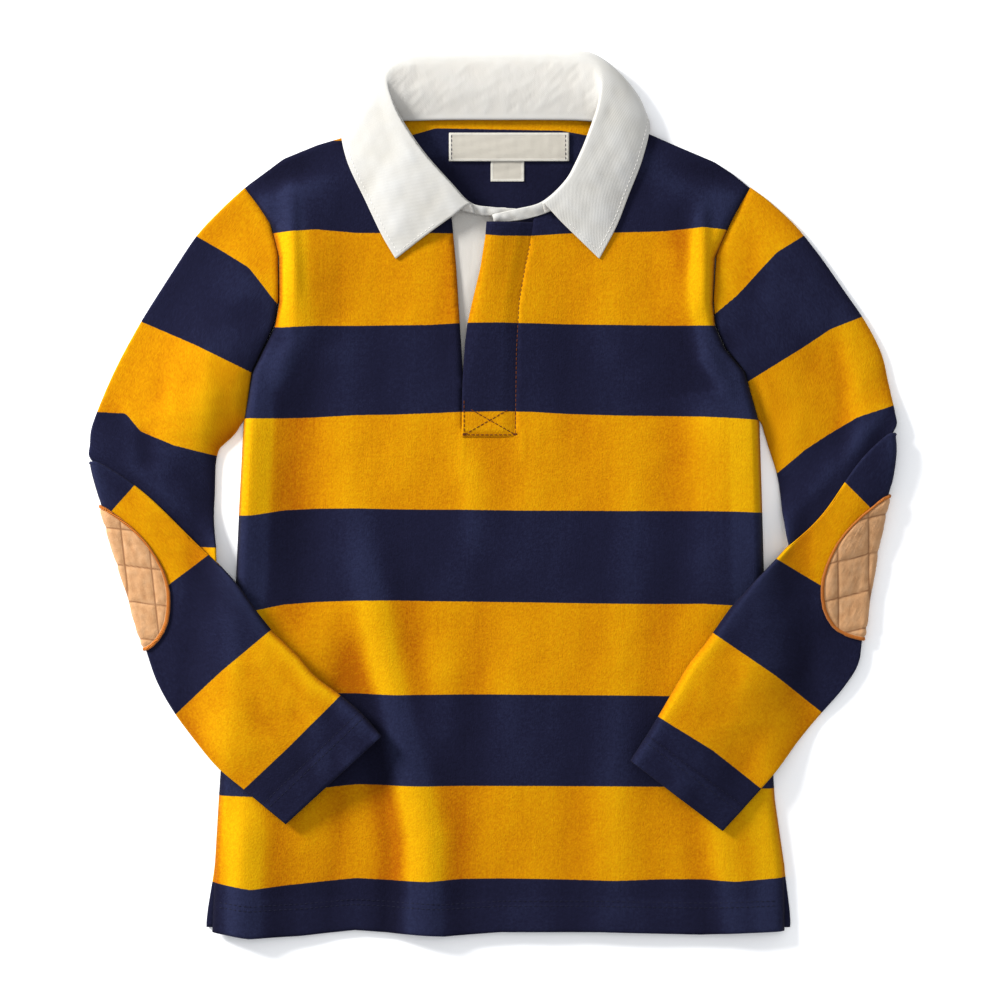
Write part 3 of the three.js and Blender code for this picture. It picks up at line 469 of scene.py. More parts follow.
class Graph:
    """The nodes of one material."""

    def __init__(self, name: str) -> None:
        """Makes the material with only its output and main shader."""
        self.material = bpy.data.materials.new(name)
        self.material.use_nodes = True
        self.tree = self.material.node_tree
        self.shader = self.tree.nodes["Principled BSDF"]

    def add(self, kind: str, settings: Dict[str, Any], inputs: Dict[Any, Any], output: Any = 0) -> Value:
        """Adds one node.

        Args:
            kind: The node's type.
            settings: What is set on the node first; stops are a ramp's places and colours.
            inputs: Numbers, colours or values for its sockets.
            output: Which output is wanted.

        Returns:
            The wanted output.
        """
        node = self.tree.nodes.new(kind)
        for key, value in settings.items():
            if key == "stops":
                ramp = node.color_ramp
                while len(ramp.elements) < len(value):
                    ramp.elements.new(0.5)
                for element, (place, colour) in zip(ramp.elements, value):
                    element.position, element.color = place, colour
            else:
                setattr(node, key, value)
        for key, value in inputs.items():
            self.link(node.inputs[key], value)
        return Value(self, node.outputs[output])

    def link(self, socket: bpy.types.NodeSocket, value: Any) -> None:
        """Feeds a socket from a value or sets it."""
        if isinstance(value, Value):
            self.tree.links.new(value.socket, socket)
        else:
            socket.default_value = value

    def attribute(self, name: str) -> Value:
        """A number stored on the mesh."""
        return self.add("ShaderNodeAttribute", {"attribute_name": name}, {}, "Fac")

    def place(self, stretch: Tuple[float, float, float] = (1, 1, 1), turn: float = 0.0) -> Value:
        """The place on the flat cloth, stretched and turned."""
        spot = self.add("ShaderNodeUVMap", {"uv_map": CLOTH_MAP}, {})
        return self.add(
            "ShaderNodeMapping", {}, {"Vector": spot, "Scale": stretch, "Rotation": (0.0, 0.0, turn)}
        )

    def noise(self, spacing: float, detail: float = 2.0, where: Optional[Value] = None) -> Value:
        """Cloudy noise with features about spacing millimetres across."""
        if where is None:
            where = self.add("ShaderNodeTexCoord", {}, {}, "Object")
        return self.add(
            "ShaderNodeTexNoise", {}, {"Vector": where, "Scale": 1 / (spacing * MM), "Detail": detail}
        )

    def mix(self, share: Any, first: Any, second: Any, how: str = "MIX") -> Value:
        """A colour between two colours."""
        settings = {"data_type": "RGBA", "blend_type": how}
        return self.add("ShaderNodeMix", settings, {0: share, 6: first, 7: second}, 2)

    def bump(self, height: Value, depth: float, strength: float, under: Optional[Value] = None) -> Value:
        """A bump of a depth in millimetres, over another one."""
        inputs = {"Height": height, "Distance": depth * MM, "Strength": strength}
        if under is not None:
            inputs["Normal"] = under
        return self.add("ShaderNodeBump", {}, inputs)

    def finish(self, **sockets: Any) -> bpy.types.Material:
        """Feeds the main shader's sockets, with spaces for underscores, and returns the material."""
        for key, value in sockets.items():
            self.link(self.shader.inputs[key.replace("_", " ")], value)
        return self.material


# Finishes


@dataclass(frozen=True)
class StripedJersey:
    """Heavy brushed cotton jersey, knitted in broad gold and navy stripes."""

    # The deep stops are partly random darker tone and partly painted shade, the light stops partly random paler
    # tone and partly painted highlight: relief in the tone below darkens hollows and lightens crests
    gold_deep_and_shade: Colour = linear(156, 93, 0)
    gold: Colour = linear(183, 130, 0)
    gold_light_and_highlight: Colour = linear(199, 157, 6)
    navy_deep_and_shade: Colour = linear(22, 22, 42)
    navy: Colour = linear(31, 32, 55)
    navy_light_and_highlight: Colour = linear(44, 48, 74)
    wale: float = 0.8
    edge_sharpness: float = 130.0

    def material(self) -> bpy.types.Material:
        """Builds the striped knit."""
        graph = Graph("striped_jersey")
        cloth = graph.place()
        nap = graph.noise(1.2, 3.0, cloth)
        cloud = graph.noise(30.0, 3.0, graph.place((1.0, 0.45, 1)))
        fleck = graph.noise(2.4, 4.0, cloth)
        relief = graph.attribute("relief")
        ragged = (graph.noise(1.6, 2.0, cloth) - 0.5) * 0.008
        along = (graph.attribute("stripe") + ragged).back_and_forth(1.0)
        navy_share = ((along - 0.5) * self.edge_sharpness + 0.5).held()
        # Tone mixes random cloud, nap and fleck with relief; the relief part is painted shade in the hollows of
        # folds and painted highlight on their crests
        tone = (cloud * 0.4 + relief * 0.4 + nap * 0.35 + fleck * 0.55 - 0.15).held()
        golds = ((0.0, self.gold_deep_and_shade), (0.5, self.gold), (1.0, self.gold_light_and_highlight))
        navies = ((0.0, self.navy_deep_and_shade), (0.5, self.navy), (1.0, self.navy_light_and_highlight))
        gold = graph.add("ShaderNodeValToRGB", {"stops": golds}, {"Fac": tone})
        navy = graph.add("ShaderNodeValToRGB", {"stops": navies}, {"Fac": tone})
        colour = graph.mix(navy_share, gold, navy)
        fibre = graph.noise(0.65, 3.0, graph.place((1.0, 0.45, 1)))
        knit = (graph.add("ShaderNodeSeparateXYZ", {}, {"Vector": cloth},
            "X") * (6.2832 / (self.wale * MM))).wave()
        height = knit * 0.06 + fibre * 0.9 + nap * 0.7
        normal = graph.bump(graph.noise(12.0, 2.0, graph.place((1.0, 0.5, 1))), 1.0, 0.2)
        normal = graph.bump(height, 0.34, 0.8, normal)
        return graph.finish(
            Base_Color=colour,
            Roughness=0.82 + 0.12 * nap,
            Specular_IOR_Level=0.08,
            Sheen_Weight=0.03,
            Sheen_Roughness=0.5,
            Sheen_Tint=(1.0, 0.9, 0.75, 1.0),
            Normal=normal,
        )


@dataclass(frozen=True)
class WhiteTwill:
    """Washed white cotton twill, a little creased, greyer up the inside of the band."""

    white: Colour = linear(192, 192, 191)
    # shade is partly random greying from crease noise and partly painted shade in hollows, through relief
    shade: Colour = linear(183, 180, 173)
    # inside is the greyer colour of the band's inside; over the whole under lap it is painted shade
    inside: Colour = linear(195, 191, 185)
    rib: float = 0.9

    def material(self) -> bpy.types.Material:
        """Builds the twill; one attribute gives the share of the band's crumpled inside, and is 1 all over the
        under lap, where its greyer inside colour is painted shade.
        """
        graph = Graph("white_twill")
        cloth = graph.place()
        crease = graph.noise(8.0, 3.0, graph.place((1.0, 0.4, 1), 0.5))
        stand = graph.attribute("stand")
        # Crease noise and relief set the tone; the relief part is painted shade in the hollows of the creases
        # and waves
        tone = (crease * 0.5 + graph.attribute("relief") * 0.5 + 0.2).held()
        colour = graph.mix(tone, self.shade, self.white)
        # Greyer towards the inside colour up the band's inside, and over the under lap as painted shade under
        # the upper lap
        colour = graph.mix(stand * (0.75 - tone * 0.6), colour, self.inside)
        slant = graph.place((1, 1, 1), 0.8)
        rib = (graph.add("ShaderNodeSeparateXYZ", {}, {"Vector": slant},
            "X") * (6.2832 / (self.rib * MM))).wave()
        fibre = graph.noise(0.6, 2.0, cloth)
        normal = graph.bump(crease * (0.25 + stand), 1.0, 0.3)
        normal = graph.bump(rib * 0.25 + fibre * 0.7, 0.18, 0.55, normal)
        return graph.finish(
            Base_Color=colour, Roughness=0.8 + 0.1 * fibre, Specular_IOR_Level=0.2, Sheen_Weight=0.08,
                Normal=normal
        )


@dataclass(frozen=True)
class QuiltedTan:
    """Soft tan cotton, quilted, with a corded edge in orange thread."""

    tan: Colour = linear(181, 143, 106)
    light: Colour = linear(196, 162, 129)
    dark: Colour = linear(156, 115, 78)
    seam: Colour = linear(118, 80, 50)
    cord: Colour = linear(180, 111, 42)

    def material(self) -> bpy.types.Material:
        """Builds the quilted cloth; rim is the distance to the edge and quilt the depth of the sewn lines."""
        graph = Graph("tan_patch")
        cloth = graph.place()
        mottle = graph.noise(5.0, 4.0)
        streak = graph.noise(4.0, 3.0, graph.place((1.0, 0.35, 1), 0.6))
        tone = (mottle * 0.8 + streak * 0.7 - 0.25).held()
        stops = ((0.0, self.dark), (0.5, self.tan), (1.0, self.light))
        colour = graph.add("ShaderNodeValToRGB", {"stops": stops}, {"Fac": tone})
        sewn = graph.attribute("quilt")
        colour = graph.mix((1 - sewn * 1.5).held() * 0.8, colour, self.seam)
        rim = graph.attribute("rim")
        corded = ((1.9 - rim) * 4.0).held()
        colour = graph.mix(corded, colour, self.cord)
        weave = graph.noise(0.7, 3.0, cloth)
        twist = (graph.attribute("run") * (6.2832 / 0.8)).wave()
        normal = graph.bump(mottle, 0.8, 0.3)
        normal = graph.bump(weave * (1 - corded) + twist * corded * 0.7, 0.35, 0.8, normal)
        return graph.finish(
            Base_Color=colour, Roughness=0.8 + 0.12 * weave, Specular_IOR_Level=0.25, Sheen_Weight=0.15,
                Normal=normal
        )


@dataclass(frozen=True)
class WovenLabel:
    """Blank cream label tape with a paler woven edge."""

    cream: Colour = linear(181, 176, 166)
    pale: Colour = linear(197, 194, 186)

    def material(self) -> bpy.types.Material:
        """Builds the tape; rim is the distance to its edge."""
        graph = Graph("cream_label")
        cloth = graph.place()
        across = graph.add("ShaderNodeSeparateXYZ", {}, {"Vector": cloth}, "X") * (6.2832 / (0.7 * MM))
        upward = graph.add("ShaderNodeSeparateXYZ", {}, {"Vector": cloth}, "Y") * (6.2832 / (0.5 * MM))
        weave = across.wave() * 0.5 + upward.wave() * 0.5
        edge = ((1.6 - graph.attribute("rim")) * 2.5).held()
        cloud = graph.noise(6.0, 3.0)
        colour = graph.mix((edge * 0.8 + cloud * 0.35 - 0.1).held(), self.cream, self.pale)
        normal = graph.bump(weave + edge * 1.5, 0.15, 0.7)
        return graph.finish(
            Base_Color=colour, Roughness=0.62 + 0.1 * cloud, Specular_IOR_Level=0.3, Sheen_Weight=0.1,
                Normal=normal
        )


@dataclass(frozen=True)
class SewingThread:
    """Two-ply sewing thread of one colour."""

    name: str
    colour: Colour

    def material(self) -> bpy.types.Material:
        """Builds the thread."""
        graph = Graph(self.name)
        fuzz = graph.noise(0.5, 2.0)
        dark = tuple(0.6 * c for c in self.colour[:3]) + (1.0,)
        colour = graph.mix(fuzz, dark, self.colour)
        return graph.finish(
            Base_Color=colour, Roughness=0.6 + 0.2 * fuzz, Specular_IOR_Level=0.3,
                Normal=graph.bump(fuzz, 0.1, 0.6)
        )


@dataclass
class Wardrobe:
    """Every finish of the shirt, made once."""

    jersey: bpy.types.Material = field(default_factory=lambda: StripedJersey().material())
    twill: bpy.types.Material = field(default_factory=lambda: WhiteTwill().material())
    patch: bpy.types.Material = field(default_factory=lambda: QuiltedTan().material())
    label: bpy.types.Material = field(default_factory=lambda: WovenLabel().material())
    brown: bpy.types.Material = field(
        default_factory=lambda: SewingThread("brown_thread", linear(112, 58, 16)).material()
    )
    navy: bpy.types.Material = field(
        default_factory=lambda: SewingThread("navy_thread", linear(30, 32, 56)).material()
    )
    white: bpy.types.Material = field(
        default_factory=lambda: SewingThread("white_thread", linear(238, 235, 230)).material()
    )
    tan: bpy.types.Material = field(
        default_factory=lambda: SewingThread("tan_thread", linear(158, 104, 58)).material()
    )


# Body


@dataclass
class BodyForm:
    """The shape of the laid body: its edges in plan and its heights over the table."""

    hem_y: float = -270.0
    tip_y: float = 191.0
    armpit_y: float = 46.0
    vent_y: float = -243.0
    loft_height: float = 3.2
    loft_reach: float = 42.0
    armhole_loft: float = 3.0
    collar_raise: Tuple[float, float] = (198.0, 216.0)
    # y, left edge, right edge
    sides: Rows = (
        (-270, -174, 180), (-230, -172.5, 180), (-188, -170, 174), (-120, -165.5, 170), (-58, -159.5, 167.5),
        (-2, -157, 166), (46, -154.5, 164.5), (77, -149.5, 155.5), (91, -142.5, 143.5), (105, -135.5, 137),
        (120, -132.5, 135.5), (148, -132.5, 137), (168, -137.5, 146), (180, -145.5, 152.5),
        (191, -154.5, 159),
    )
    # x, y
    shoulders: Rows = (
        (-154.5, 191), (-130, 209), (-109, 217.5), (-92, 222.5), (-72, 232), (-58, 236.5), (4, 237.5),
        (66, 237),
        (80, 233), (96, 224.5), (113, 217), (137, 207), (148.5, 199.5), (159, 191),
    )
    hem: Rows = (
        (-174, -270), (-151, -273.5), (-120, -272), (-86, -268.5), (-58, -270.5), (-30, -272), (4, -269.5),
        (66, -269.5), (128, -271), (180, -269),
    )
    folds: Tuple[Fold, ...] = (
        Fold(((-88, 30), (-80, -39), (-70, -94), (-57, -153), (-42, -210), (-40, -290)), 4.1, 16, 13, True),
        Fold(((-152, 110), (-156, 70), (-158, 0), (-160, -100)), 6.4, 4, 20),
        Fold(((-149, -60), (-160, -190)), 2.2, 7, 24),
        Fold(((-154, -172), (-157, -290)), 4.4, 8, 17, True),
        Fold(((-96, -60), (-78, -150), (-73, -215), (-78, -290)), -4.6, 33, 17, True),
        Fold(((146, 112), (160, 70), (163, 0), (163, -100)), 5.6, 44, 6),
        Fold(((-4, 235), (-5, 150), (-6, 64)), 3.4, 14, 44),
        Fold(((4, -60), (9, -150), (12, -240)), 0.9, 18, 24),
        Fold(((70, -80), (74, -180), (88, -285)), 1.2, 26, 18, True),
        Fold(((130, -150), (140, -195), (152, -285)), 3.0, 12, 30, True),
        Fold(((-127, 205), (-125, 160), (-121.5, 108)), 2.4, 6, 4.5),
        Fold(((-122, 215), (-122, 150), (-122, 95), (-134, 50)), 4.6, 8, 26),
        Fold(((-104, 160), (-112, 78), (-122, 20), (-122, -70)), -1.5, 20, 20, True),
        Fold(((129, 190), (130, 150), (129.5, 106)), 3.2, 7, 3.5),
        Fold(((124, 108), (136, 84), (151, 56)), 2.0, 6, 5),
        Fold(((128, 92), (141, 72)), 1.2, 4, 4),
        Fold(((-126, 100), (-138, 62)), 1.7, 6, 7),
        Fold(((-19.5, 46), (-19.5, 18)), 0.35, 1.6, 1.6),
        Fold(((18, 46), (18, 18)), 0.35, 1.6, 1.6),
        Fold(((-30, -75), (-38, -180)), 1.0, 16, 16),
        Fold(((-19, 40), (-12, 0), (-14, -50)), 0.9, 9, 14),
    )
    # Boundaries of the front's stripes from the neck down, at the places across in stripe_x
    stripe_x: Tuple[float, ...] = (-175, -150, -130, -110, -85, -60, -40, -20, 4, 25, 45, 75, 105, 130,
        150, 180)
    stripes: Rows = (
        (221, 221, 221, 220.5, 220.5, 220.5, 220.5, 220.5, 221, 221.5, 222, 224, 227, 228, 228, 228),
        (163, 163, 163.5, 165.2, 163.2, 163.2, 163.2, 163, 161, 161.3, 162.8, 163.4, 164.2, 166.6, 165, 165),
        (105, 105, 104.5, 105.6, 105.6, 106, 106.2, 107.4, 107.6, 107.2, 106.6, 106.2, 105.8, 105.7,
        105.5, 105),
        (48, 48.3, 48.4, 49, 50.4, 50.8, 51.6, 52.4, 52.8, 52.4, 51.2, 50.2, 49.8, 49.4, 48.4, 46),
        (-12, -11.8, -8.6, -7.6, -7.4, -8, -8.2, -8.2, -8.6, -8.8, -8.8, -9, -9, -9, -9.4, -10.6),
        (-72, -71, -67, -65.4, -64.4, -64.4, -64.8, -65, -65.4, -65.6, -66, -66.4, -66.6, -66.4, -67.4, -69),
        (-123, -122.8, -122.4, -122, -122, -123, -122.8, -122.6, -122.6, -122.8, -123, -123.2, -123.6,
        -124, -124, -124),
        (-185.2, -186, -184, -181, -178.4, -179, -179.4, -179.2, -179.2, -179.2, -179.4, -179.4, -179.8,
        -180, -180.6, -181),
        (-239, -243.4, -241, -239, -236.6, -238, -238.4, -236.8, -236.6, -236.8, -237.2, -238, -237, -237,
        -238.4, -236),
    )
    # The back's first boundary shows inside the neck
    back_first: Rows = ((-175, 221), (-75, 221), (-50, 224.3), (-36, 228.4), (10, 227.6), (42, 227),
        (58, 224), (180, 224))

    def left(self, y: Any) -> Any:
        """The left edge at a height up the shirt."""
        return lookup(self.sides, y, 1)

    def right(self, y: Any) -> Any:
        """The right edge at a height up the shirt."""
        return lookup(self.sides, y, 2)

    def edge(self, side: Side, y: Any) -> Any:
        """One side's edge at a height up the shirt."""
        return self.left(y) if side is Side.LEFT else self.right(y)

    def back_bottom(self, y: Any) -> Any:
        """Underside of the back, which rises over the collar's fall."""
        return PITCH * smooth(*self.collar_raise, y)

    def back_top(self, y: Any) -> Any:
        """Upper face of the back."""
        return self.back_bottom(y) + CLOTH

    def armhole_rise(self, y: Any) -> Any:
        """Rise of the armhole seam, most half way down."""
        along = np.clip((y - self.armpit_y) / (self.tip_y - self.armpit_y), 0, 1)
        return self.armhole_loft * np.sin(math.pi * along) ** 2

    def inset(self, x: Any, y: Any) -> Any:
        """Distance in from the nearer side edge."""
        return np.minimum(x - self.left(y), self.right(y) - x)

    def front_top(self, x: Any, y: Any) -> Any:
        """Upper face of the front, with its folds and small unevenness."""
        x, y = np.asarray(x, float), np.asarray(y, float)
        inset = self.inset(x, y)
        away = smooth(0, self.loft_reach, inset)
        below = smooth(0, 26, lookup(self.shoulders, x) - y)
        folds = sum(fold.rise(x, y) for fold in self.folds)
        fine = 0.3 * ripple(x, y / 4.5, 38, 3) + 0.06 * ripple(x, y / 1.6, 15, 5) + 0.3 * ripple(x, y / 2,
            80, 9)
        plump = 1 - np.exp(-np.maximum(inset, 0) / 2.2)
        rise = self.armhole_rise(y) * (1 - away) + self.loft_height * plump
        rise = np.maximum(rise + (folds + fine) * smooth(0, 3.5, inset), 0.2)
        rolled = -1.15 * (1 - smooth(0, 3.2, inset)) * smooth(self.vent_y - 2, self.vent_y + 6, y)
        hem = 0.35 * smooth(-248, -250.5, y) - 0.3 * np.exp(-(((y + 251) / 0.9) ** 2))
        return self.back_top(y) + LAID + CLOTH + rise * below + rolled + hem

    def place(self, across: Any, up: Any, dip: float) -> Tuple[Any, Any]:
        """Plan position of a place on a panel.

        Args:
            across: Share of the way from the left edge to the right one.
            up: Share of the way from the hem to the shoulder tips.
            dip: How much of the front hem's waves the panel has.

        Returns:
            x and y.
        """
        level = self.hem_y + (self.tip_y - self.hem_y) * up
        x = self.left(level) + (self.right(level) - self.left(level)) * across
        crown = lookup(self.shoulders, -154.5 + 313.5 * across) - 191
        wave = lookup(self.hem, -174 + 354 * across) - self.hem_y
        return x, level + crown * up**3 + dip * wave * (1 - up) ** 6

    def stripe(self, x: np.ndarray, y: np.ndarray, back: bool = False) -> np.ndarray:
        """Stripe number at plan points: gold about even whole numbers, navy about odd ones."""
        lines = [np.interp(x, self.stripe_x, row) for row in self.stripes]
        if back:
            lines[0] = lookup(self.back_first, x)
        value = 0.5 - (y - lines[0]) / 57.0
        for index in range(len(lines) - 1):
            share = (lines[index] - y) / (lines[index] - lines[index + 1])
            value = np.where(y <= lines[index], index + 0.5 + share, value)
        return np.where(y <= lines[-1], len(lines) - 0.5 + (lines[-1] - y) / 57.0, value)


def relief_of(height: np.ndarray, reach: int = 9) -> np.ndarray:
    """How much each point of a height grid stands above its neighbourhood, in millimetres; the finishes paint
    it as shade in hollows and highlight on crests.
    """
    padded = np.pad(height, reach, mode="edge")
    total = np.cumsum(np.cumsum(np.pad(padded, ((1, 0), (1, 0))), 0), 1)
    size = 2 * reach + 1
    window = total[size:, size:] - total[:-size, size:] - total[size:, :-size] + total[:-size, :-size]
    return np.clip(height - window / size**2, -1.1, 0.9)


@dataclass
class Panels:
    """The front and the back of the body."""

    form: BodyForm
    wardrobe: Wardrobe
    step: float = 2.2
    neck_left: Rows = (
        (-10, 178.2), (-23.5, 183), (-44, 199), (-59.5, 215.2), (-66.5, 226), (-62, 240),
    )
    neck_right: Rows = ((70, 240), (71.8, 224), (67, 211), (57.5, 197.5), (46, 186.5), (30.5, 178.2))
    slot_left: Rows = ((42, -18.8), (75, -19.2), (106, -21.2), (141, -23.4), (172, -26.2), (190, -27.8))
    slot_right: Rows = ((42, 13.6), (108, 15.2), (121, 16), (142, 19.6), (160, 23.4), (178, 26))
    slot_bottom: float = 42.0

    def in_neck(self, x: np.ndarray, y: np.ndarray) -> np.ndarray:
        """Whether plan points lie inside the neck opening or the placket's slot."""
        outline = np.array([*self.neck_left, (-62, 300), (70, 300), *self.neck_right])
        inside = np.zeros(x.shape, bool)
        for (ax, ay), (bx, by) in zip(outline, np.roll(outline, -1, 0)):
            crosses = (ay > y) != (by > y)
            inside ^= crosses & (x < (bx - ax) * (y - ay) / (by - ay + 1e-12) + ax)
        slot = (y > self.slot_bottom) & (y < 186) & (x < lookup(self.slot_right,
            y)) & (x > lookup(self.slot_left, y))
        return inside | slot

    def outline(self) -> np.ndarray:
        """Points along the neck opening and the slot, every half millimetre."""
        slot = [(x, y) for y, x in self.slot_left]
        runs = [self.neck_left, self.neck_right]
        seam = [(x, y) for y, x in self.slot_right]
        runs += [slot, [slot[0], seam[0]], seam]
        found = []
        for run in runs:
            for (ax, ay), (bx, by) in zip(run, run[1:]):
                count = max(2, int(math.hypot(bx - ax, by - ay) * 2))
                found.append(np.stack([np.linspace(ax, bx, count), np.linspace(ay, by, count)], 1))
        return np.concatenate(found)

    def front(self) -> bpy.types.Object:
        """Builds the front with its neck opening and placket slot."""
        columns = int(354 / self.step) + 1
        rows = int(500 / self.step) + 1
        across, up = np.meshgrid(np.linspace(0, 1, columns), np.linspace(0, 1, rows))
        x, y = self.form.place(across, up, 1.0)
        cut = self.in_neck(x, y)
        cells = ~(cut[:-1, :-1] | cut[:-1, 1:] | cut[1:, :-1] | cut[1:, 1:])
        beside = np.zeros(cut.shape, bool)
        for di in (0, 1):
            for dj in (0, 1):
                beside[di : di + rows - 1, dj : dj + columns - 1] |= cells
        touching = np.zeros(cut.shape, bool)
        for di in (0, 1):
            for dj in (0, 1):
                touching[di : di + rows - 1, dj : dj + columns - 1] |= ~cells
        rim = beside & touching
        line = self.outline()
        spots = np.stack([x[rim], y[rim]], 1)
        nearest = ((spots[:, None, :] - line[None, :, :]) ** 2).sum(2).argmin(1)
        x[rim], y[rim] = line[nearest, 0], line[nearest, 1]
        drop = np.zeros(x.shape)
        near = (np.abs(x - lookup(self.slot_left, y)) < 2.5) & (y > self.slot_bottom) & (x < 0)
        drop[near] = 0.7 * (1 - np.abs(x - lookup(self.slot_left, y))[near] / 2.5)
        z = self.form.front_top(x, y) - CLOTH / 2 - drop
        spread = np.stack([x, y], 2) * MM
        fields = {"stripe": self.form.stripe(x, y), "relief": relief_of(z)}
        cloth = Cloth(np.stack([x, y, z], 2), keep=cells, fields=fields, spread=spread)
        piece = place_piece(cloth.build("front", self.wardrobe.jersey), Slot.JERSEY, "front_panel")
        self.front_cloth = cloth
        return piece

    def back(self) -> bpy.types.Object:
        """Builds the back, whose hem corners show beside the side vents."""
        columns, rows = 150, 200
        across, up = np.meshgrid(np.linspace(0, 1, columns), np.linspace(0, 1, rows))
        x, y = self.form.place(across, up, 0.0)
        x = x + 4 * (2 * across - 1) ** 7 * (1 - smooth(0, 0.1, up))
        y = y + 3 * (1 - up) ** 6
        z = self.form.back_bottom(y) + CLOTH / 2
        z = z + 0.12 * (1 + ripple(x, y, 40, 21)) * smooth(0, 15, self.form.inset(x, y)) * smooth(150, 190, y)
        fields = {"stripe": self.form.stripe(x, y, back=True), "relief": relief_of(z)}
        cloth = Cloth(np.stack([x, y, z], 2), fields=fields, spread=np.stack([x, y], 2) * MM)
        self.back_cloth = cloth
        return place_piece(cloth.build("back", self.wardrobe.jersey), Slot.JERSEY, "back_panel")

    def hem_stitches(self) -> bpy.types.Object:
        """Builds the stitching of the bottom hem."""
        runs = []
        for level in (-251.0, -254.0):
            x = np.linspace(-170, 176, 240)
            y = level + (lookup(self.form.hem, x) - self.form.hem_y) * 0.8
            runs.append(np.stack([x, y, self.form.front_top(x, y)], 1))
        return place_piece(Thread(seed=11).build("hem_stitching", runs, self.wardrobe.navy), Slot.JERSEY)

    def build(self) -> None:
        """Builds the body and logs the area of its cloth."""
        front, back, hem = self.front(), self.back(), self.hem_stitches()
        LOG.info("front area %.4f back area %.4f", self.front_cloth.area(), self.back_cloth.area())


# Sleeves


@dataclass
class SleeveForm:
    """One sleeve's tables: rows of outer x and y, inner x and y, armhole curve kept, and puff."""

    side: Side
    upper: Rows
    forearm: Rows
    folds: Tuple[Fold, ...]
    upper_stripes: Tuple[Rows, ...]
    forearm_stripes: Tuple[Rows, ...]
    crown: Tuple[float, float]  # how far the arch leans inwards, upper arm and forearm; 1 is upright
    cuff_air: float  # air that the sleeve gathers under it towards its cuff
    bow: Tuple[float, float]  # of the elbow's fold: once over its length, and there and back
    patch_reach: Rows  # share of the patch's length, reach in from the sleeve's outer edge
    patch_under: float  # share of that reach on the underside
    quilting: Tuple[Tuple[float, float, float, float], ...]  # normal x and y, first line and spacing


LEFT_SLEEVE = SleeveForm(
    side=Side.LEFT,
    upper=(
        (-156.6, 194.4, -154.6, 46, 1, 1), (-169.8, 179.6, -157, 43.5, 0.62, 4),
        (-184.5, 161.5, -159.5, 40.5, 0.3, 6),
        (-202, 134, -163, 37, 0.1, 7.2), (-218, 108.5, -167, 33.5, 0, 7.4), (-232, 83, -171, 29, 0, 6.8),
        (-242, 61, -173, 20, 0, 5.6), (-248.5, 43, -173.5, 4, 0, 4.2), (-249.5, 32, -174, -14, 0, 3),
        (-250.2, 25.5, -172, -32, 0, 1.6), (-247, 20, -170, -50, 0, 0), (-245.5, 15, -168.5, -68, 0, 0),
    ),
    forearm=(
        (-250.5, 24, -168.5, -44, 0, 0), (-248.5, 15, -160, -53, 0, 0), (-244.8, 2, -154.5, -60, 0, 0.5),
        (-242.4, -5, -152.2, -63.4, 0, 1.2), (-236.5, -25, -147.5, -70, 0, 2.2),
        (-232.5, -38, -145, -73.5, 0, 3),
        (-228.5, -51, -143, -76, 0, 3.6), (-224.5, -64, -141, -78.5, 0, 4), (-220, -79, -139, -81, 0, 4.4),
        (-215, -95, -137, -83.5, 0, 4.6), (-208, -115, -134, -86.5, 0, 4.6),
        (-197, -134.5, -129, -91, 0, 4.4),
        (-184.5, -151, -120, -100, 0, 4), (-170.5, -167, -109.5, -112, 0, 3.4),
        (-154.5, -180.5, -95, -123, 0, 2.6),
        (-141, -191.5, -81.5, -134.5, 0, 1.6), (-128.2, -202, -69.6, -148, 0, 1.2),
    ),
    folds=(
        Fold(((-206, 96), (-208, 50)), -0.9, 6, 6),
        Fold(((-176, 130), (-180, 60), (-180, 10)), 1.9, 24, 13),
        Fold(((-172, 178), (-160, 148), (-150, 112)), 2.6, 20, 12),
        Fold(((-246, 44), (-236, 28)), -2.0, 9, 9, True),
        Fold(((-238, 80), (-222, 38)), 1.5, 5, 5),
        Fold(((-219, 48), (-214, 12)), -1.7, 6, 7),
    ),
    upper_stripes=(
        ((-184.4, 161.5), (-168, 152), (-151.6, 141.7), (-132.4, 116.9)),
        ((-218, 108.2), (-185, 94), (-152.8, 78.4)),
        ((-245.2, 52.4), (-227.8, 51.5), (-218.6, 40.4), (-197.8, 31.7), (-172.7, 25.4)),
        ((-240, -24), (-205, -29), (-180.7, -31.3), (-165, -32)),
    ),
    forearm_stripes=(
        ((-235.9, -8.7), (-223.9, 4.8)),
        ((-226, -77), (-199.5, -53.6), (-177.3, -37.1), (-165, -28)),
        ((-196.8, -134.8), (-168, -108), (-136.7, -81.8)),
        ((-152.8, -179.7), (-126.8, -155.1), (-95, -123.4)),
    ),
    crown=(1.8, 1.2),
    cuff_air=4.5,
    bow=(4.2, 1.2),
    patch_reach=(
        (0, 1), (0.01, 14), (0.025, 21), (0.05, 26), (0.08, 29), (0.12, 31.3), (0.2, 33.4), (0.3, 34.1),
        (0.4, 32.7),
        (0.5, 30.5), (0.6, 27.3), (0.7, 23.8), (0.8, 19.8), (0.88, 15.3), (0.94, 10.4), (0.98, 5.6), (1, 1.5),
    ),
    patch_under=0.6,
    quilting=((0.995, 0.1, -231.0, 16.4), (0.12, 0.993, -69.4, 22.0)),
)

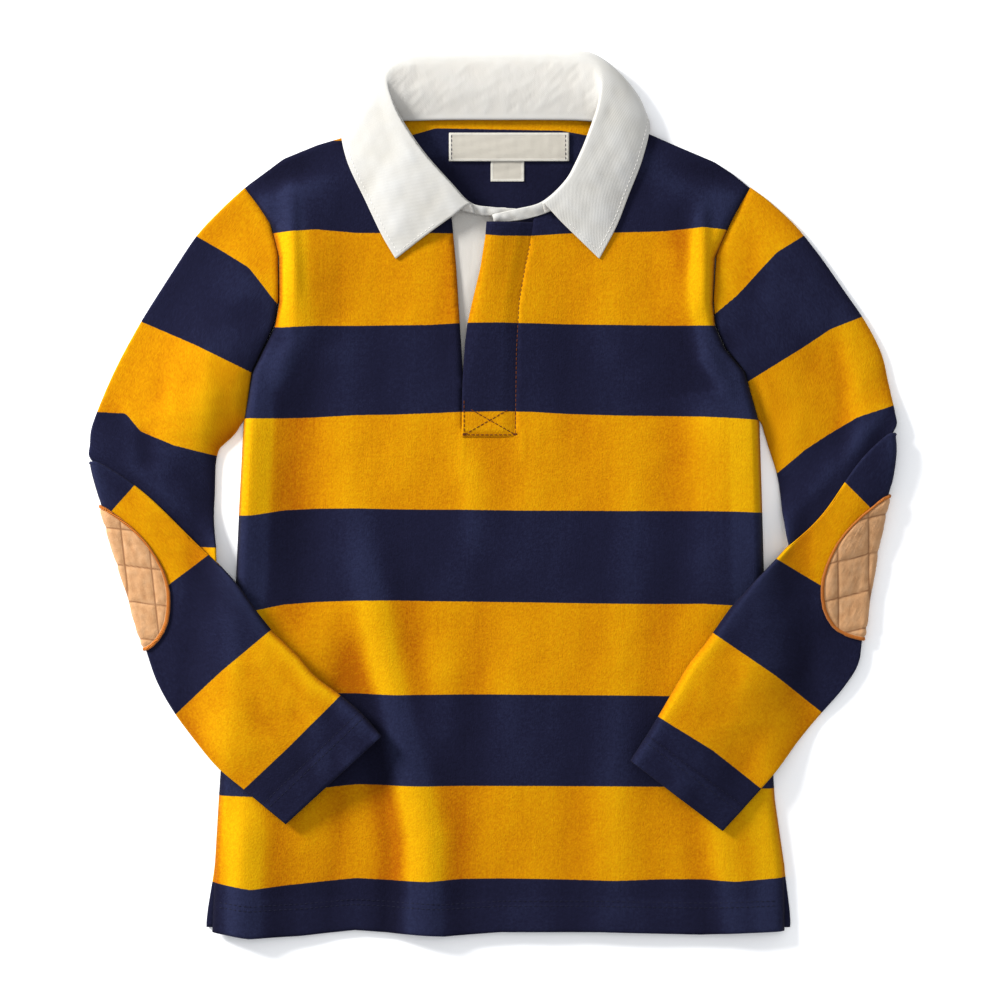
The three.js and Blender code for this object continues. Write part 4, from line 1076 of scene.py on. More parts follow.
RIGHT_SLEEVE = SleeveForm(
    side=Side.RIGHT,
    upper=(
        (161.2, 194.4, 164.7, 46, 1, 0.6), (171.6, 184.6, 167.3, 43, 0.62, 1.8),
        (187, 168.5, 168.5, 39, 0.3, 3.8),
        (202, 149, 170, 35, 0.1, 4.6), (217, 127.5, 171.5, 30, 0, 5), (230, 108.5, 173.5, 24, 0, 5.6),
        (240, 89, 176, 16, 0, 5.6), (244.5, 70, 178, 6, 0, 5.2), (248.3, 52, 179.5, -9, 0, 4.4),
        (249.4, 44.5, 181.5, -24, 0, 3), (246, 38, 184, -42, 0, 0), (243.5, 32, 186.5, -58, 0, 0),
    ),
    forearm=(
        (249, 42, 182, -31.5, 0, 0), (249.5, 29, 175, -39, 0, 0), (247.5, 13, 170.5, -43.5, 0, 0.5),
        (244.3, 1.5, 167.4, -46.6, 0, 1.4), (240, -16, 162.5, -51.5, 0, 2.4), (237, -30, 158.5, -56, 0, 3.2),
        (235, -43, 155, -60, 0, 3.8), (233, -56, 151.5, -63.5, 0, 4), (230.5, -72, 148.5, -67, 0, 4),
        (228, -89, 145, -71.5, 0, 2.8), (225.5, -104, 141.5, -76.5, 0, 2.8), (216, -119, 137, -83, 0, 2.8),
        (203, -134, 130.5, -92, 0, 2.6), (189, -150.5, 121, -104, 0, 2.4), (175, -169, 111.5, -120, 0, 2),
        (159, -187, 98.5, -142, 0, 1.6), (141.3, -206, 85, -163, 0, 1.2),
    ),
    folds=(
        Fold(((206, 118), (213, 66), (210, -10)), -4.2, 24, 12),
        Fold(((140, 104), (152, 88)), -0.9, 4, 4),
    ),
    upper_stripes=(
        ((137.2, 112.7), (151.5, 124.9), (165.7, 140.5), (175.6, 151.2), (192.7, 161.8)),
        ((160, 72.8), (191.3, 92.1), (208.4, 103.5), (228.3, 111.3)),
        ((177, 15.2), (193.7, 29.4), (207.1, 38.1), (226, 49.3), (245.1, 55.5)),
        ((180, -48), (215, -36), (250, -18)),
    ),
    forearm_stripes=(
        ((219, 7.1), (232.4, -6.3)),
        ((160, -29), (174.7, -38.8), (201.6, -54.5), (232, -73)),
        ((136.6, -84.9), (173.7, -110.3), (203, -133.4)),
        ((102.7, -136.5), (135.1, -156.6), (165.2, -180.5)),
    ),
    crown=(0.75, 1.25),
    cuff_air=2.0,
    bow=(0, 2.6),
    patch_reach=(
        (0, 1), (0.01, 9), (0.04, 18.6), (0.08, 24.4), (0.12, 27.8), (0.2, 30.9), (0.3, 32.1), (0.4, 32.8),
        (0.5, 32.9), (0.6, 31.9), (0.7, 30.2), (0.8, 27.7), (0.88, 24.2), (0.94, 20.1), (0.97, 16.5),
        (0.99, 11),
        (1, 5),
    ),
    patch_under=0.6,
    quilting=((1.0, 0.02, 231.2, 19.4), (-0.233, 0.972, -88.6, 22.0)),
)


@dataclass
class Sleeve:
    """A flattened sleeve from its armhole, through the elbow's tuck, to the cuff, with its elbow patch."""

    shape: SleeveForm
    body: BodyForm
    wardrobe: Wardrobe
    step: float = 2.2
    hem_depth: float = 19.0
    patch_rows: Tuple[int, int] = (3, 9)
    tucked: Tuple[float, ...] = (1, 0.6, 0.2, 0, 0, 0, 0, 0, 0, 0.1, 0.7, 1)
    bow_left: Tuple[float, ...] = (1, 0.6, 0.25, 0)
    flat_size: Tuple[float, float] = (0.24, 0.47)

    def past(self, line: Tuple[np.ndarray, np.ndarray], x: Any, y: Any) -> Any:
        """How far a plan point lies past a fold line, towards the cuff."""
        (ax, ay), (bx, by) = line
        length = math.hypot(bx - ax, by - ay)
        return -self.shape.side.value * ((bx - ax) * (y - ay) - (by - ay) * (x - ax)) / length

    def heights(self, nest: float, x: Any, y: Any) -> Tuple[Any, Any, Any]:
        """Heights of the tube's two layers, half way through their walls.

        Args:
            nest: Place in the elbow's nest of folds; 2 is the upper arm and 0 the forearm.
            x: Plan position across.
            y: Plan position up.

        Returns:
            The lower layer, the upper layer, and the share of puff that the place allows.
        """
        forearm, upper = self.shape.forearm, self.shape.upper
        ridge = (forearm[0][:2], forearm[0][2:4])
        valley = (upper[-1][:2], upper[-1][2:4])
        near = smooth(-30, -1, self.past(ridge, x, y))
        (ax, ay), (bx, by) = forearm[self.patch_rows[0]][:2], forearm[self.patch_rows[1]][:2]
        t = np.clip(((x - ax) * (bx - ax) + (y - ay) * (by - ay)) / ((bx - ax) ** 2 + (by - ay) ** 2), 0, 1)
        away = np.hypot(x - ax - (bx - ax) * t, y - ay - (by - ay) * t)
        lift = PITCH * (1 - smooth(28, 62, away))
        inside = self.shape.side.value * (x - self.body.edge(self.shape.side, y))
        held_x = np.clip(x, self.body.left(y) + 14, self.body.right(y) - 14)
        air = COVER + self.shape.cuff_air * smooth(15, 80, inside)
        support = smooth(-30, 7, inside) * (self.body.front_top(held_x, y) + air)
        lower = CLOTH / 2 + lift + near * support + PITCH * nest * near
        swell = 1 - smooth(1, 34, self.past(valley, x, y))
        stack = 0.0 if nest == 2 else (4 - 2 * nest) * swell
        clear = 1 - smooth(-14, -1, self.past(ridge, x, y)) if nest == 2 else 1 - swell
        return lower, lower + PITCH * (1 + stack), clear

    def loop(self, row: np.ndarray, nest: float, tucked: float = 1.0, bowed: float = 0.0) -> np.ndarray:
        """One loop of the tube, out along the upper layer and back along the lower one.

        Args:
            row: Outer x and y, inner x and y, armhole curve kept and puff.
            nest: Place in the elbow's nest of folds.
            tucked: Share of its inset in that nest that the loop has.
            bowed: Share of the elbow fold's bow that the loop has.

        Returns:
            The loop's points.
        """
        ox, oy, ix, iy, curve, puff = row
        curve = max(0.0, curve)
        width = math.hypot(ix - ox, iy - oy)
        inset = PITCH * nest * tucked / width
        once, swing = self.shape.bow
        body = self.body

        def plan(share: np.ndarray) -> Tuple[np.ndarray, np.ndarray]:
            c = inset + (1 - 2 * inset) * share
            tip = np.exp(-((c / 0.035) ** 2)) * bowed
            c = c + 2.3 / width * tip
            x, y = ox + (ix - ox) * c, oy + (iy - oy) * c
            arm_y = body.tip_y + (body.armpit_y - body.tip_y) * c
            top, pit = (body.edge(self.shape.side, v) for v in (body.tip_y, body.armpit_y))
            bow = (once * np.sin(math.pi * c) + swing * np.sin(2 * math.pi * c)) * bowed - 1.9 * tip
            bow = bow * self.shape.side.value
            x = x + curve * (body.edge(self.shape.side, arm_y) - top - (pit - top) * c)
            return x - bow * (iy - oy) / width, y + bow * (ix - ox) / width

        x, y = plan(np.array([0.02]))
        lower, upper, _ = self.heights(nest, x, y)
        bend = min(0.08, float((upper - lower)[0]) / 2 / width)
        turn = bend * (1 - np.cos(np.linspace(0, math.pi / 2, 6)))
        flat = np.linspace(bend, 1 - bend, 42)[1:-1]
        shares = np.concatenate([turn, flat, 1 - turn[::-1]])

        def layer(share: np.ndarray, over: int) -> np.ndarray:
            x, y = plan(share)
            lower, upper, rest = self.heights(nest, x, y)
            half = (upper - lower) / 2
            reach = np.minimum(0.12, half / width)
            from_end = np.minimum(np.minimum(share, 1 - share) / reach, 1)
            rounded = np.sqrt(np.clip(1 - (1 - from_end) ** 2, 0, 1))
            z = (lower + upper) / 2 + over * half * rounded
            if over > 0:
                crown = share ** (self.shape.crown[0] if nest == 2 else self.shape.crown[1])
                arch = np.clip(np.sin(math.pi * crown), 0, 1) ** 0.9
                folds = sum(fold.rise(x, y) for fold in self.shape.folds) * min(1.0, 0.4 + max(0.0, puff))
                fine = (0.22 * ripple(x, y, 30, 31) + 0.07 * ripple(x, y, 13, 33)) * arch
                z = z + np.maximum(max(0.0, puff) + folds, 0.1) * arch * rest + fine * rounded
                z = z + curve * body.armhole_rise(body.tip_y + (body.armpit_y - body.tip_y) * share) * rounded
            return np.stack([x, y, z], 1)

        return np.concatenate([layer(shares, 1), layer(shares[-2:0:-1], -1)])

    def rings(self) -> Tuple[np.ndarray, int]:
        """All loops from armhole to cuff, and the number of the forearm's first."""
        upper, forearm = self.shape.upper, self.shape.forearm
        turn = PITCH / 2

        def shifted(row: np.ndarray, distance: float) -> np.ndarray:
            width = math.hypot(row[2] - row[0], row[3] - row[1])
            nx = self.shape.side.value * (row[3] - row[1]) / width * distance
            ny = -self.shape.side.value * (row[2] - row[0]) / width * distance
            return row + np.array([nx, ny, nx, ny, 0, 0])

        def spaced(rows: Rows, first: int, last: int) -> np.ndarray:
            places = [float(first)]
            for index in range(first, last):
                a, b = np.array(rows[index][:4]), np.array(rows[index + 1][:4])
                gap = max(np.hypot(*(b - a)[:2]), np.hypot(*(b - a)[2:]))
                count = max(2, round(gap / self.step))
                places += [index + k / count for k in range(1, count + 1)]
            return np.array(places)

        loops = []
        for at in (0.0, 0.08, *spaced(upper, 0, len(upper) - 1)[1:-1]):
            loops.append(self.loop(curved(upper, at), 2,
                float(np.interp(at, range(len(upper)), self.tucked))))
        valley, ridge = np.array(upper[-1], float), np.array(forearm[0], float)
        turns = np.linspace(0, math.pi, 7)
        for angle in turns:
            loops.append(self.loop(shifted(valley, -turn * (1 - math.sin(angle))),
                1.5 + 0.5 * math.cos(angle)))
        for share in (0.33, 0.67):
            loops.append(self.loop(valley + (ridge - valley) * share, 1, 1.0, share))
        for angle in turns:
            row = shifted(ridge, turn * (1 - math.sin(angle)))
            loops.append(self.loop(row, 0.5 + 0.5 * math.cos(angle), 1.0, 1.0))
        first = len(loops) - 1
        for at in spaced(forearm, 0, len(forearm) - 1)[1:]:
            bowed = float(np.interp(at, range(len(self.bow_left)), self.bow_left))
            loops.append(self.loop(curved(forearm, at), 0, 1.0, bowed))
        return np.array(loops), first

    def stripe(self, rings: np.ndarray, first: int) -> np.ndarray:
        """Stripe number over the rings, from the stripe lines of the upper arm and of the forearm."""
        x, y = rings[..., 0], rings[..., 1]

        def number(lines: Tuple[Rows, ...], start: float) -> np.ndarray:
            past = [signed_distance(line, x, y) for line in lines]
            value = start + past[0] / 60.0
            for index in range(len(lines) - 1):
                share = past[index] / np.maximum(past[index] - past[index + 1], 1e-6)
                value = np.where(past[index] >= 0, start + index + np.clip(share, 0, 1), value)
            return np.where(past[-1] >= 0, start + len(lines) - 1 + past[-1] / 60.0, value)

        value = number(self.shape.upper_stripes, 0.5)
        value[first - 3 :] = number(self.shape.forearm_stripes, 3.5)[first - 3 :]
        return value

    def cuff(self, rings: np.ndarray) -> np.ndarray:
        """Distance of each ring from the cuff's edge."""
        steps = np.linalg.norm(np.diff(rings.mean(1), axis=0), axis=1)
        run = np.concatenate([[0], np.cumsum(steps)])
        return run[-1] - run

    def tube(self) -> bpy.types.Object:
        """Builds the sleeve."""
        rings, first = self.rings()
        from_cuff = self.cuff(rings)
        bare = Cloth(rings, closed=True)
        normal = bare.normals()
        hem = 0.3 * smooth(self.hem_depth, self.hem_depth - 2, from_cuff)
        hem = hem - 0.35 * np.exp(-(((from_cuff - self.hem_depth) / 0.8) ** 2))
        seam = -0.75 * (1 - smooth(0, 2.4, from_cuff[0] - from_cuff))
        points = rings + normal * (hem + seam)[:, None, None] * np.clip(normal[..., 2:], 0, 1)
        around = np.concatenate([points, points[:, :1]], 1)
        u = np.concatenate(
            [np.zeros((len(points), 1)), np.cumsum(np.linalg.norm(np.diff(around, axis=1), axis=2), 1)], 1
        )
        v = np.broadcast_to(from_cuff[:, None], u.shape)
        half = points.shape[1] // 2
        # Relief of the upper layer only, which the jersey paints as shade in hollows and highlight on crests
        relief = np.zeros(points.shape[:2])
        relief[:, :half] = relief_of(points[:, :half, 2], 5)
        fields = {"stripe": self.stripe(points, first), "relief": relief}
        self.first, self.from_cuff = first, from_cuff
        self.cloth = Cloth(points, closed=True, fields=fields, spread=np.stack([u, v], 2) * MM)
        word = self.shape.side.word
        piece = self.cloth.build(f"sleeve_{word}_cloth", self.wardrobe.jersey)
        return place_piece(piece, Slot.JERSEY, f"sleeve_{word}")

    def cuff_stitches(self) -> bpy.types.Object:
        """Builds the two rows of stitches round the cuff's hem."""
        skin = self.cloth.points + self.cloth.normals() * CLOTH / 2
        runs = []
        for distance in (self.hem_depth - 0.4, self.hem_depth - 3.2):
            ring = int(np.abs(self.from_cuff - distance).argmin())
            runs.append(np.concatenate([skin[ring], skin[ring, :1]]))
        name = f"cuff_stitching_{self.shape.side.word}"
        return place_piece(Thread(seed=13, radius=0.2).build(name, runs, self.wardrobe.navy), Slot.JERSEY)

    def quilt_distance(self, x: np.ndarray, y: np.ndarray) -> np.ndarray:
        """Distance of plan points from the nearest line of quilting."""
        found = np.full(x.shape, 1e9)
        for nx, ny, first, spacing in self.shape.quilting:
            off = (nx * x + ny * y - first + spacing / 2) % spacing - spacing / 2
            found = np.minimum(found, np.abs(off))
        return found

    def patch(self) -> bpy.types.Object:
        """Builds the quilted elbow patch round the sleeve's outer edge."""
        normal = self.cloth.normals()
        skin = self.cloth.points + normal * CLOTH / 2
        outer = skin[:, 0]
        forearm = self.shape.forearm
        ends = [
            int(np.hypot(outer[self.first :, 0] - forearm[k][0],
                outer[self.first :, 1] - forearm[k][1]).argmin())
            + self.first
            for k in self.patch_rows
        ]
        run = np.concatenate([[0],
            np.cumsum(np.linalg.norm(np.diff(outer[ends[0] : ends[1] + 1], axis=0), axis=1))])
        length = run[-1]
        shares = (1 - np.cos(np.linspace(0.0, math.pi, 110))) / 2
        spots = np.linspace(-1, 1, 101)
        points, facings, arounds = [], [], []
        for share in shares:
            at = float(np.interp(share * length, run, np.arange(len(run)))) + ends[0]
            ring = min(len(skin) - 2, int(at))
            t = at - ring
            count = skin.shape[1]
            reach = count // 2 - 2
            order = np.arange(-reach, reach + 1) % count
            path = (skin[ring] * (1 - t) + skin[ring + 1] * t)[order]
            facing = (normal[ring] * (1 - t) + normal[ring + 1] * t)[order]
            place = np.concatenate([[0], np.cumsum(np.linalg.norm(np.diff(path, axis=0), axis=1))])
            place -= place[reach]
            plan = np.hypot(path[:, 0] - path[reach, 0], path[:, 1] - path[reach, 1])
            shown = float(lookup(self.shape.patch_reach, share))
            over = float(np.interp(shown, plan[reach:], place[reach:]))
            under = float(np.interp(shown * self.shape.patch_under, plan[reach::-1], -place[reach::-1]))
            around = np.where(spots > 0, spots * over, spots * under)
            points.append(np.stack([np.interp(around, place, path[:, k]) for k in range(3)], 1))
            out = np.stack([np.interp(around, place, facing[:, k]) for k in range(3)], 1)
            facings.append(out / np.linalg.norm(out, axis=1, keepdims=True))
            arounds.append(around)
        point, out, around = np.array(points), np.array(facings), np.array(arounds)
        along = np.broadcast_to((shares * length)[:, None], around.shape)
        flat = np.stack([along, around], 2)
        edge = np.concatenate([flat[:, 0], flat[-1], flat[::-1, -1], flat[0, ::-1]])
        fine = np.concatenate([edge[:-1] + (edge[1:] - edge[:-1]) * t for t in (0, 0.33, 0.67)])
        rim = np.sqrt(((flat[:, :, None] - fine) ** 2).sum(3).min(2))
        channel = self.quilt_distance(point[..., 0], point[..., 1])
        sewn = 1 - np.exp(-((channel / 0.75) ** 2))
        plump = 0.6 * (1 - np.exp(-((channel / 1.5) ** 2))) + 0.4 * (1 - np.exp(-((channel / 6.0) ** 2)))
        rumple = 0.16 * ripple(point[..., 0], point[..., 1] * 0.6, 7, 51) + 0.1 * ripple(along, around,
            3.5, 53)
        puffed = (0.9 * plump + rumple * plump) * smooth(1.9, 5.0, rim)
        cord = 0.55 * np.exp(-(((rim - 0.9) / 0.75) ** 2))
        dip = 0.25 * np.exp(-(((rim - 2.2) / 0.5) ** 2))
        middle = point + out * (0.25 + (CLOTH + puffed + cord - dip) / 2)[..., None]
        fields = {"rim": rim, "quilt": sewn, "run": along + around * 0.6}
        spread = np.stack([around, along], 2) * MM
        self.patch_cloth = Cloth(middle, wall=CLOTH * 0.8 + puffed + cord - dip, fields=fields, spread=spread)
        word = self.shape.side.word
        piece = self.patch_cloth.build(f"patch_{word}", self.wardrobe.patch)
        return place_piece(piece, Slot.PATCH, f"elbow_patch_{word}")

    def build(self, rests_on: List[str]) -> None:
        """Builds the sleeve and its trim and logs the area of their cloth."""
        tube, stitches, patch = self.tube(), self.cuff_stitches(), self.patch()
        LOG.info("sleeve area %.4f patch area %.4f", self.cloth.area(), self.patch_cloth.area())
        self.cloth.area()
        self.patch_cloth.area()


# Collar


@dataclass
class Collar:
    """The collar: a band round the neck, and the leaf that folds over it."""

    wardrobe: Wardrobe
    # Seam x, y, z and top edge x, y, z
    band: Rows = (
        (15, 174.5, 6.6, 14, 178, 7.4), (1, 174, 6.8, 0, 178.8, 8.0), (-12, 175.5, 7.0, -14, 181.5, 9.5),
        (-25, 180.5, 7.2, -26, 193.5, 12), (-46, 197, 7.6, -42.5, 212, 13.5),
        (-62, 214.5, 8.2, -55.5, 231, 14),
        (-69, 227, 7.6, -62.5, 246, 13.5), (-60, 232.5, 5.2, -65.5, 261, 11.5),
        (-47, 233.5, 4.4, -53, 269.5, 9),
        (-24, 234, 4.2, -26, 271, 8), (4, 234, 4.2, 4, 271.5, 7.8), (32, 234, 4.2, 34, 271.5, 8),
        (55, 233.5, 4.4, 56, 270.5, 9), (66, 231.5, 5.2, 66, 262, 11.5), (74.5, 225, 7.6, 65, 244, 13.5),
        (70, 211, 8.2, 58.5, 224, 14), (60, 195.5, 8, 51.5, 207.5, 13.5), (48, 184, 8.2, 44, 194.5, 12.5),
        (32, 175.5, 8.4, 30, 182, 11), (15, 171, 8.4, 14, 177.5, 10.2), (0.5, 170, 8.4, -0.5, 174.2, 9.6),
    )
    leaf_first_row: int = 2
    leaf_clear: Tuple[float, float] = (0.7, 2.1)
    # Bend, half way and outer edge, each x, y, z
    leaf: Rows = (
        (-25.5, 173.5, 11, -43, 161, 9, -60.5, 147.5, 7.2), (-39, 185, 13, -54.5, 173, 10.5, -69, 162, 7.4),
        (-54, 203, 14.5, -67, 193, 11.5, -79, 183, 7.6), (-67, 225, 14.5, -79, 216, 12, -90.5, 208, 8.4),
        (-74, 242, 13.5, -86.5, 237, 9.5, -94, 229, 5.5), (-78, 254.5, 9.5, -83.5, 249, 3.2, -86, 236, 0.6),
        (-58, 273.5, 5.2, -59, 264, 0.7, -62, 228, 0.6), (-27, 274.5, 4.8, -27.5, 264, 0.7, -29, 226, 0.6),
        (4, 274.8, 4.8, 4, 264, 0.7, 4, 226, 0.6), (35, 274.8, 4.8, 35.5, 264, 0.7, 37, 226, 0.6),
        (61, 274.3, 5.2, 64, 264, 0.7, 70, 228, 0.6), (80.5, 257.5, 9.5, 87, 251, 3.2, 90, 237, 0.6),
        (79, 241, 13.5, 90.5, 237, 9.5, 96.5, 230, 5.5), (72, 220, 14.5, 83, 213.5, 12, 92, 209, 8.4),
        (62, 201.5, 14.5, 73, 194, 11.5, 84, 188, 7.6), (54.5, 184, 13.2, 65, 175, 10.5, 76, 167.5, 7.4),
        (42.5, 169.5, 11.6, 54, 158.5, 9, 65.5, 147.5, 7.2),
    )

    def band_cloth(self) -> Cloth:
        """The band, creased where it was pressed inside the neck."""
        rows = []
        places = np.linspace(0, len(self.band) - 1, 220)
        shares = np.linspace(0, 1, 22)
        for at in places:
            row = curved(self.band, float(at))
            seam, top = row[:3], row[3:]
            sag = np.linalg.norm(top - seam) * 0.06
            points = seam + (top - seam) * shares[:, None]
            points[:, 2] += sag * np.sin(math.pi * shares)
            rows.append(points)
        grid = np.array(rows)
        x, y = grid[..., 0], grid[..., 1]
        held = np.sin(math.pi * shares)[None, :] ** 0.6
        crease = 0.45 * ripple(x * 1.3 + y * 0.7, y * 0.5, 11, 71) + 0.22 * ripple(x, y, 6, 73)
        grid[..., 2] += crease * held
        steps = np.linalg.norm(np.diff(grid[:, 0], axis=0), axis=1)
        run = np.concatenate([[0], np.cumsum(steps)])
        depth = np.linalg.norm(grid - grid[:, :1], axis=2)
        spread = np.stack([np.broadcast_to(run[:, None], depth.shape), depth], 2) * MM
        return Cloth(grid, fields={"relief": np.clip(crease * held, -1, 1), "stand": 0 * crease},
            spread=spread)

    def leaf_cloth(self) -> Cloth:
        """The leaf: up the inside of the band from its seam, over the fold and down to the outer edge."""
        rows, stands = [], []
        shares = np.linspace(0, 1, 90)
        for at in np.linspace(0, len(self.leaf) - 1, 240):
            row = curved(self.leaf, float(at))
            bend, half, edge = row[:3], row[3:6], row[6:]
            band = curved(self.band, self.leaf_first_row + float(at))
            seam, top = band[:3], band[3:]
            outward = (bend - top) * (1, 1, 0)
            outward /= np.linalg.norm(outward)
            fold = top + outward * self.leaf_clear[0] + (0, 0, self.leaf_clear[1])
            low = seam - (top - seam) * 0.012 + (0, 0, 1.5)
            inner = seam + (top - seam) * 0.55 + (0, 0, 1.75 + np.linalg.norm(top - seam) * 0.06)
            line = hung_line([low, inner, fold, bend, half, edge], np.linspace(0, 1, 160))
            run = np.concatenate([[0], np.cumsum(np.linalg.norm(np.diff(line, axis=0), axis=1))])
            place = shares * run[-1]
            rows.append(np.stack([np.interp(place, run, line[:, k]) for k in range(3)], 1))
            stands.append(place - run[64])
        grid, past_fold = np.array(rows), np.array(stands)
        x, y = grid[..., 0], grid[..., 1]
        stand = smooth(-1, -5, past_fold) * smooth(0, 0.06, shares)[None, :]
        creases = 0.13 * ripple(x - y * 0.5, y * 0.6, 14, 71) + 0.1 * ripple(x * 1.2 - y, y * 0.7, 5.5, 73)
        free = smooth(2, 9, past_fold) * (1 - 0.6 * smooth(0.9, 1, shares))[None, :]
        waves = 0.3 * ripple(x, y, 30, 81) + 0.08 * ripple(x, y, 11, 83)
        piping = 0.25 * np.exp(-(((shares - 0.012) / 0.012) ** 2))[None, :]
        grid[..., 2] = np.maximum(grid[..., 2] + waves * free + creases * stand + piping, CLOTH / 2)
        steps = np.linalg.norm(np.diff(grid[:, 30], axis=0), axis=1)
        run = np.concatenate([[0], np.cumsum(steps)])
        spread = np.stack([np.broadcast_to(run[:, None], past_fold.shape), past_fold], 2) * MM
        relief = np.clip(waves * free + creases * stand, -1, 1)
        return Cloth(grid, wall=CLOTH, fields={"relief": relief, "stand": stand}, spread=spread)

    def edge_run(self, cloth: Cloth, inset: float) -> np.ndarray:
        """A path on the leaf's upper face, a little inside its three free edges."""
        skin = cloth.points + cloth.normals() * CLOTH / 2
        depth = np.concatenate(
            [np.zeros((len(skin), 1)), np.cumsum(np.linalg.norm(np.diff(skin, axis=1), axis=2), 1)], 1
        )
        first, last = 2, len(skin) - 3

        def across(row: int, start: float, end: float) -> List[np.ndarray]:
            return [
                np.array([np.interp(d, depth[row], skin[row, :, k]) for k in range(3)])
                for d in np.linspace(start, end, 24)
            ]

        fold = len(skin[0]) // 2
        path = across(first, depth[first, fold], depth[first, -1] - inset)
        for row in range(first, last + 1):
            path.append(np.array([np.interp(depth[row, -1] - inset, depth[row],
                skin[row, :, k]) for k in range(3)]))
        return np.array(path + across(last, depth[last, -1] - inset, depth[last, fold]))

    def build(self) -> None:
        """Builds the collar and logs the area of its cloth."""
        band_cloth, leaf_cloth = self.band_cloth(), self.leaf_cloth()
        band = place_piece(band_cloth.build("band", self.wardrobe.twill), Slot.TWILL, "collar_band")
        leaf = place_piece(leaf_cloth.build("leaf", self.wardrobe.twill), Slot.TWILL, "collar_leaf")
        run = self.edge_run(leaf_cloth, 3.0)
        edge = Thread(seed=17, radius=0.17, length=1.9).build("collar_stitching", [run], self.wardrobe.white)
        place_piece(edge, Slot.TWILL)
        LOG.info("band area %.4f leaf area %.4f", band_cloth.area(), leaf_cloth.area())
        band_cloth.area()
        leaf_cloth.area()


# Placket and labels


@dataclass
class Placket:
    """The fly placket: a striped upper lap, swinging open at the top, over a white under lap."""

    form: BodyForm
    wardrobe: Wardrobe
    seam: Rows = ((37, 14.5), (108, 16.1), (121, 16.9), (142, 20.5), (160, 24.3), (178, 27))
    bottom: float = 37.0
    top: float = 169.5
    free_edge: Rows = (
        (37, -19.4), (60, -19.2), (75, -18.7), (94, -17.4), (107, -15.8), (118.5, -13.2), (141, -7.8),
        (160, -4.8), (170, -4),
    )
    under: Tuple[float, float, float, float] = (-31.0, 8.0, 44.0, 179.0)
    box_height: float = 17.0

    def lap_top(self, x: Any, y: Any) -> Any:
        """Upper face of the upper lap: level with the front at its seam, standing clear at its free edge."""
        inside = lookup(self.seam, y) - x
        free = smooth(2, 27, inside) * smooth(70, 160, y)
        over = smooth(0, 11, inside)
        low = smooth(self.bottom, self.bottom + 5, y)
        groove = -0.4 * np.exp(-(((inside - 0.8) / 0.9) ** 2))
        return self.form.front_top(x, y) + 0.1 + (0.45 + 1.15 * low) * over + 2.8 * free + groove

    def upper_lap(self) -> bpy.types.Object:
        """Builds the striped lap."""
        across, up = np.meshgrid(np.linspace(0, 1, 30), np.linspace(0, 1, 110))
        y = self.bottom + (self.top - self.bottom) * up
        left = lookup(self.free_edge, y)
        x = left + (lookup(self.seam, y) - left) * across
        roll = 0.5 * np.exp(-(((x - left) / 1.6) ** 2)) * smooth(60, 90, y)
        z = self.lap_top(x, y) - CLOTH / 2 - roll
        fields = {"stripe": self.form.stripe(x, y), "relief": relief_of(z, 4)}
        self.lap_cloth = Cloth(np.stack([x, y, z], 2), fields=fields, spread=np.stack([x, y], 2) * MM)
        return place_piece(self.lap_cloth.build("upper_lap", self.wardrobe.jersey), Slot.JERSEY,
            "placket_upper_lap")

    def under_lap(self) -> bpy.types.Object:
        """Builds the white lap."""
        left, right, bottom, top = self.under
        across, up = np.meshgrid(np.linspace(0, 1, 30), np.linspace(0, 1, 90))
        x, y = left + (right - left) * across, bottom + (top - bottom) * up
        z = self.form.back_top(y) + 0.8 + CLOTH / 2 + 0.18 * (1 + ripple(x, y / 2, 16, 61))
        # The under lap takes the greyer inside colour all over: painted shade in its recess under the upper lap
        fields = {"relief": relief_of(z, 4), "stand": 0 * z + 1}
        self.under_cloth = Cloth(np.stack([x, y, z], 2), fields=fields, spread=np.stack([x, y], 2) * MM)
        return place_piece(self.under_cloth.build("under_lap", self.wardrobe.twill), Slot.TWILL,
            "placket_under_lap")

    def stitches(self) -> bpy.types.Object:
        """Builds the seam line, the crossed box at the foot and its bar tacks."""
        foot, head = self.bottom + 1.2, self.bottom + self.box_height
        left, right = -18.2, 13.6

        def run(*corners: Tuple[float, float]) -> np.ndarray:
            spots = []
            for (ax, ay), (bx, by) in zip(corners, corners[1:]):
                count = max(3, int(math.hypot(bx - ax, by - ay)))
                spots += [(ax + (bx - ax) * t, ay + (by - ay) * t) for t in np.linspace(0, 1, count)]
            x, y = np.array(spots).T
            return np.stack([x, y, self.lap_top(x, y) + 0.02], 1)

        runs = [
            run((right, foot), (14.2, 90), (15.2, 108), (16, 121), (19.6, 142), (23.4, 159)),
            run((left, head), (left, head + 8)),
            run((left, head), (left, foot), (right, foot), (right, head)),
            run((left, foot), (right - 4, head)),
            run((left + 4, head), (right, foot)),
        ]
        for x, y in ((left, foot + 0.3), (right, foot + 0.3)):
            runs += [run((x - 1.3, y + k * 0.45), (x + 1.5, y + k * 0.45)) for k in (-1, 0, 1)]
        thread = Thread(seed=19, length=2.3, space=0.55, radius=0.29)
        return place_piece(thread.build("placket_stitching", runs, self.wardrobe.brown), Slot.JERSEY)

    def build(self) -> None:
        """Builds the placket."""
        under, lap, stitches = self.under_lap(), self.upper_lap(), self.stitches()


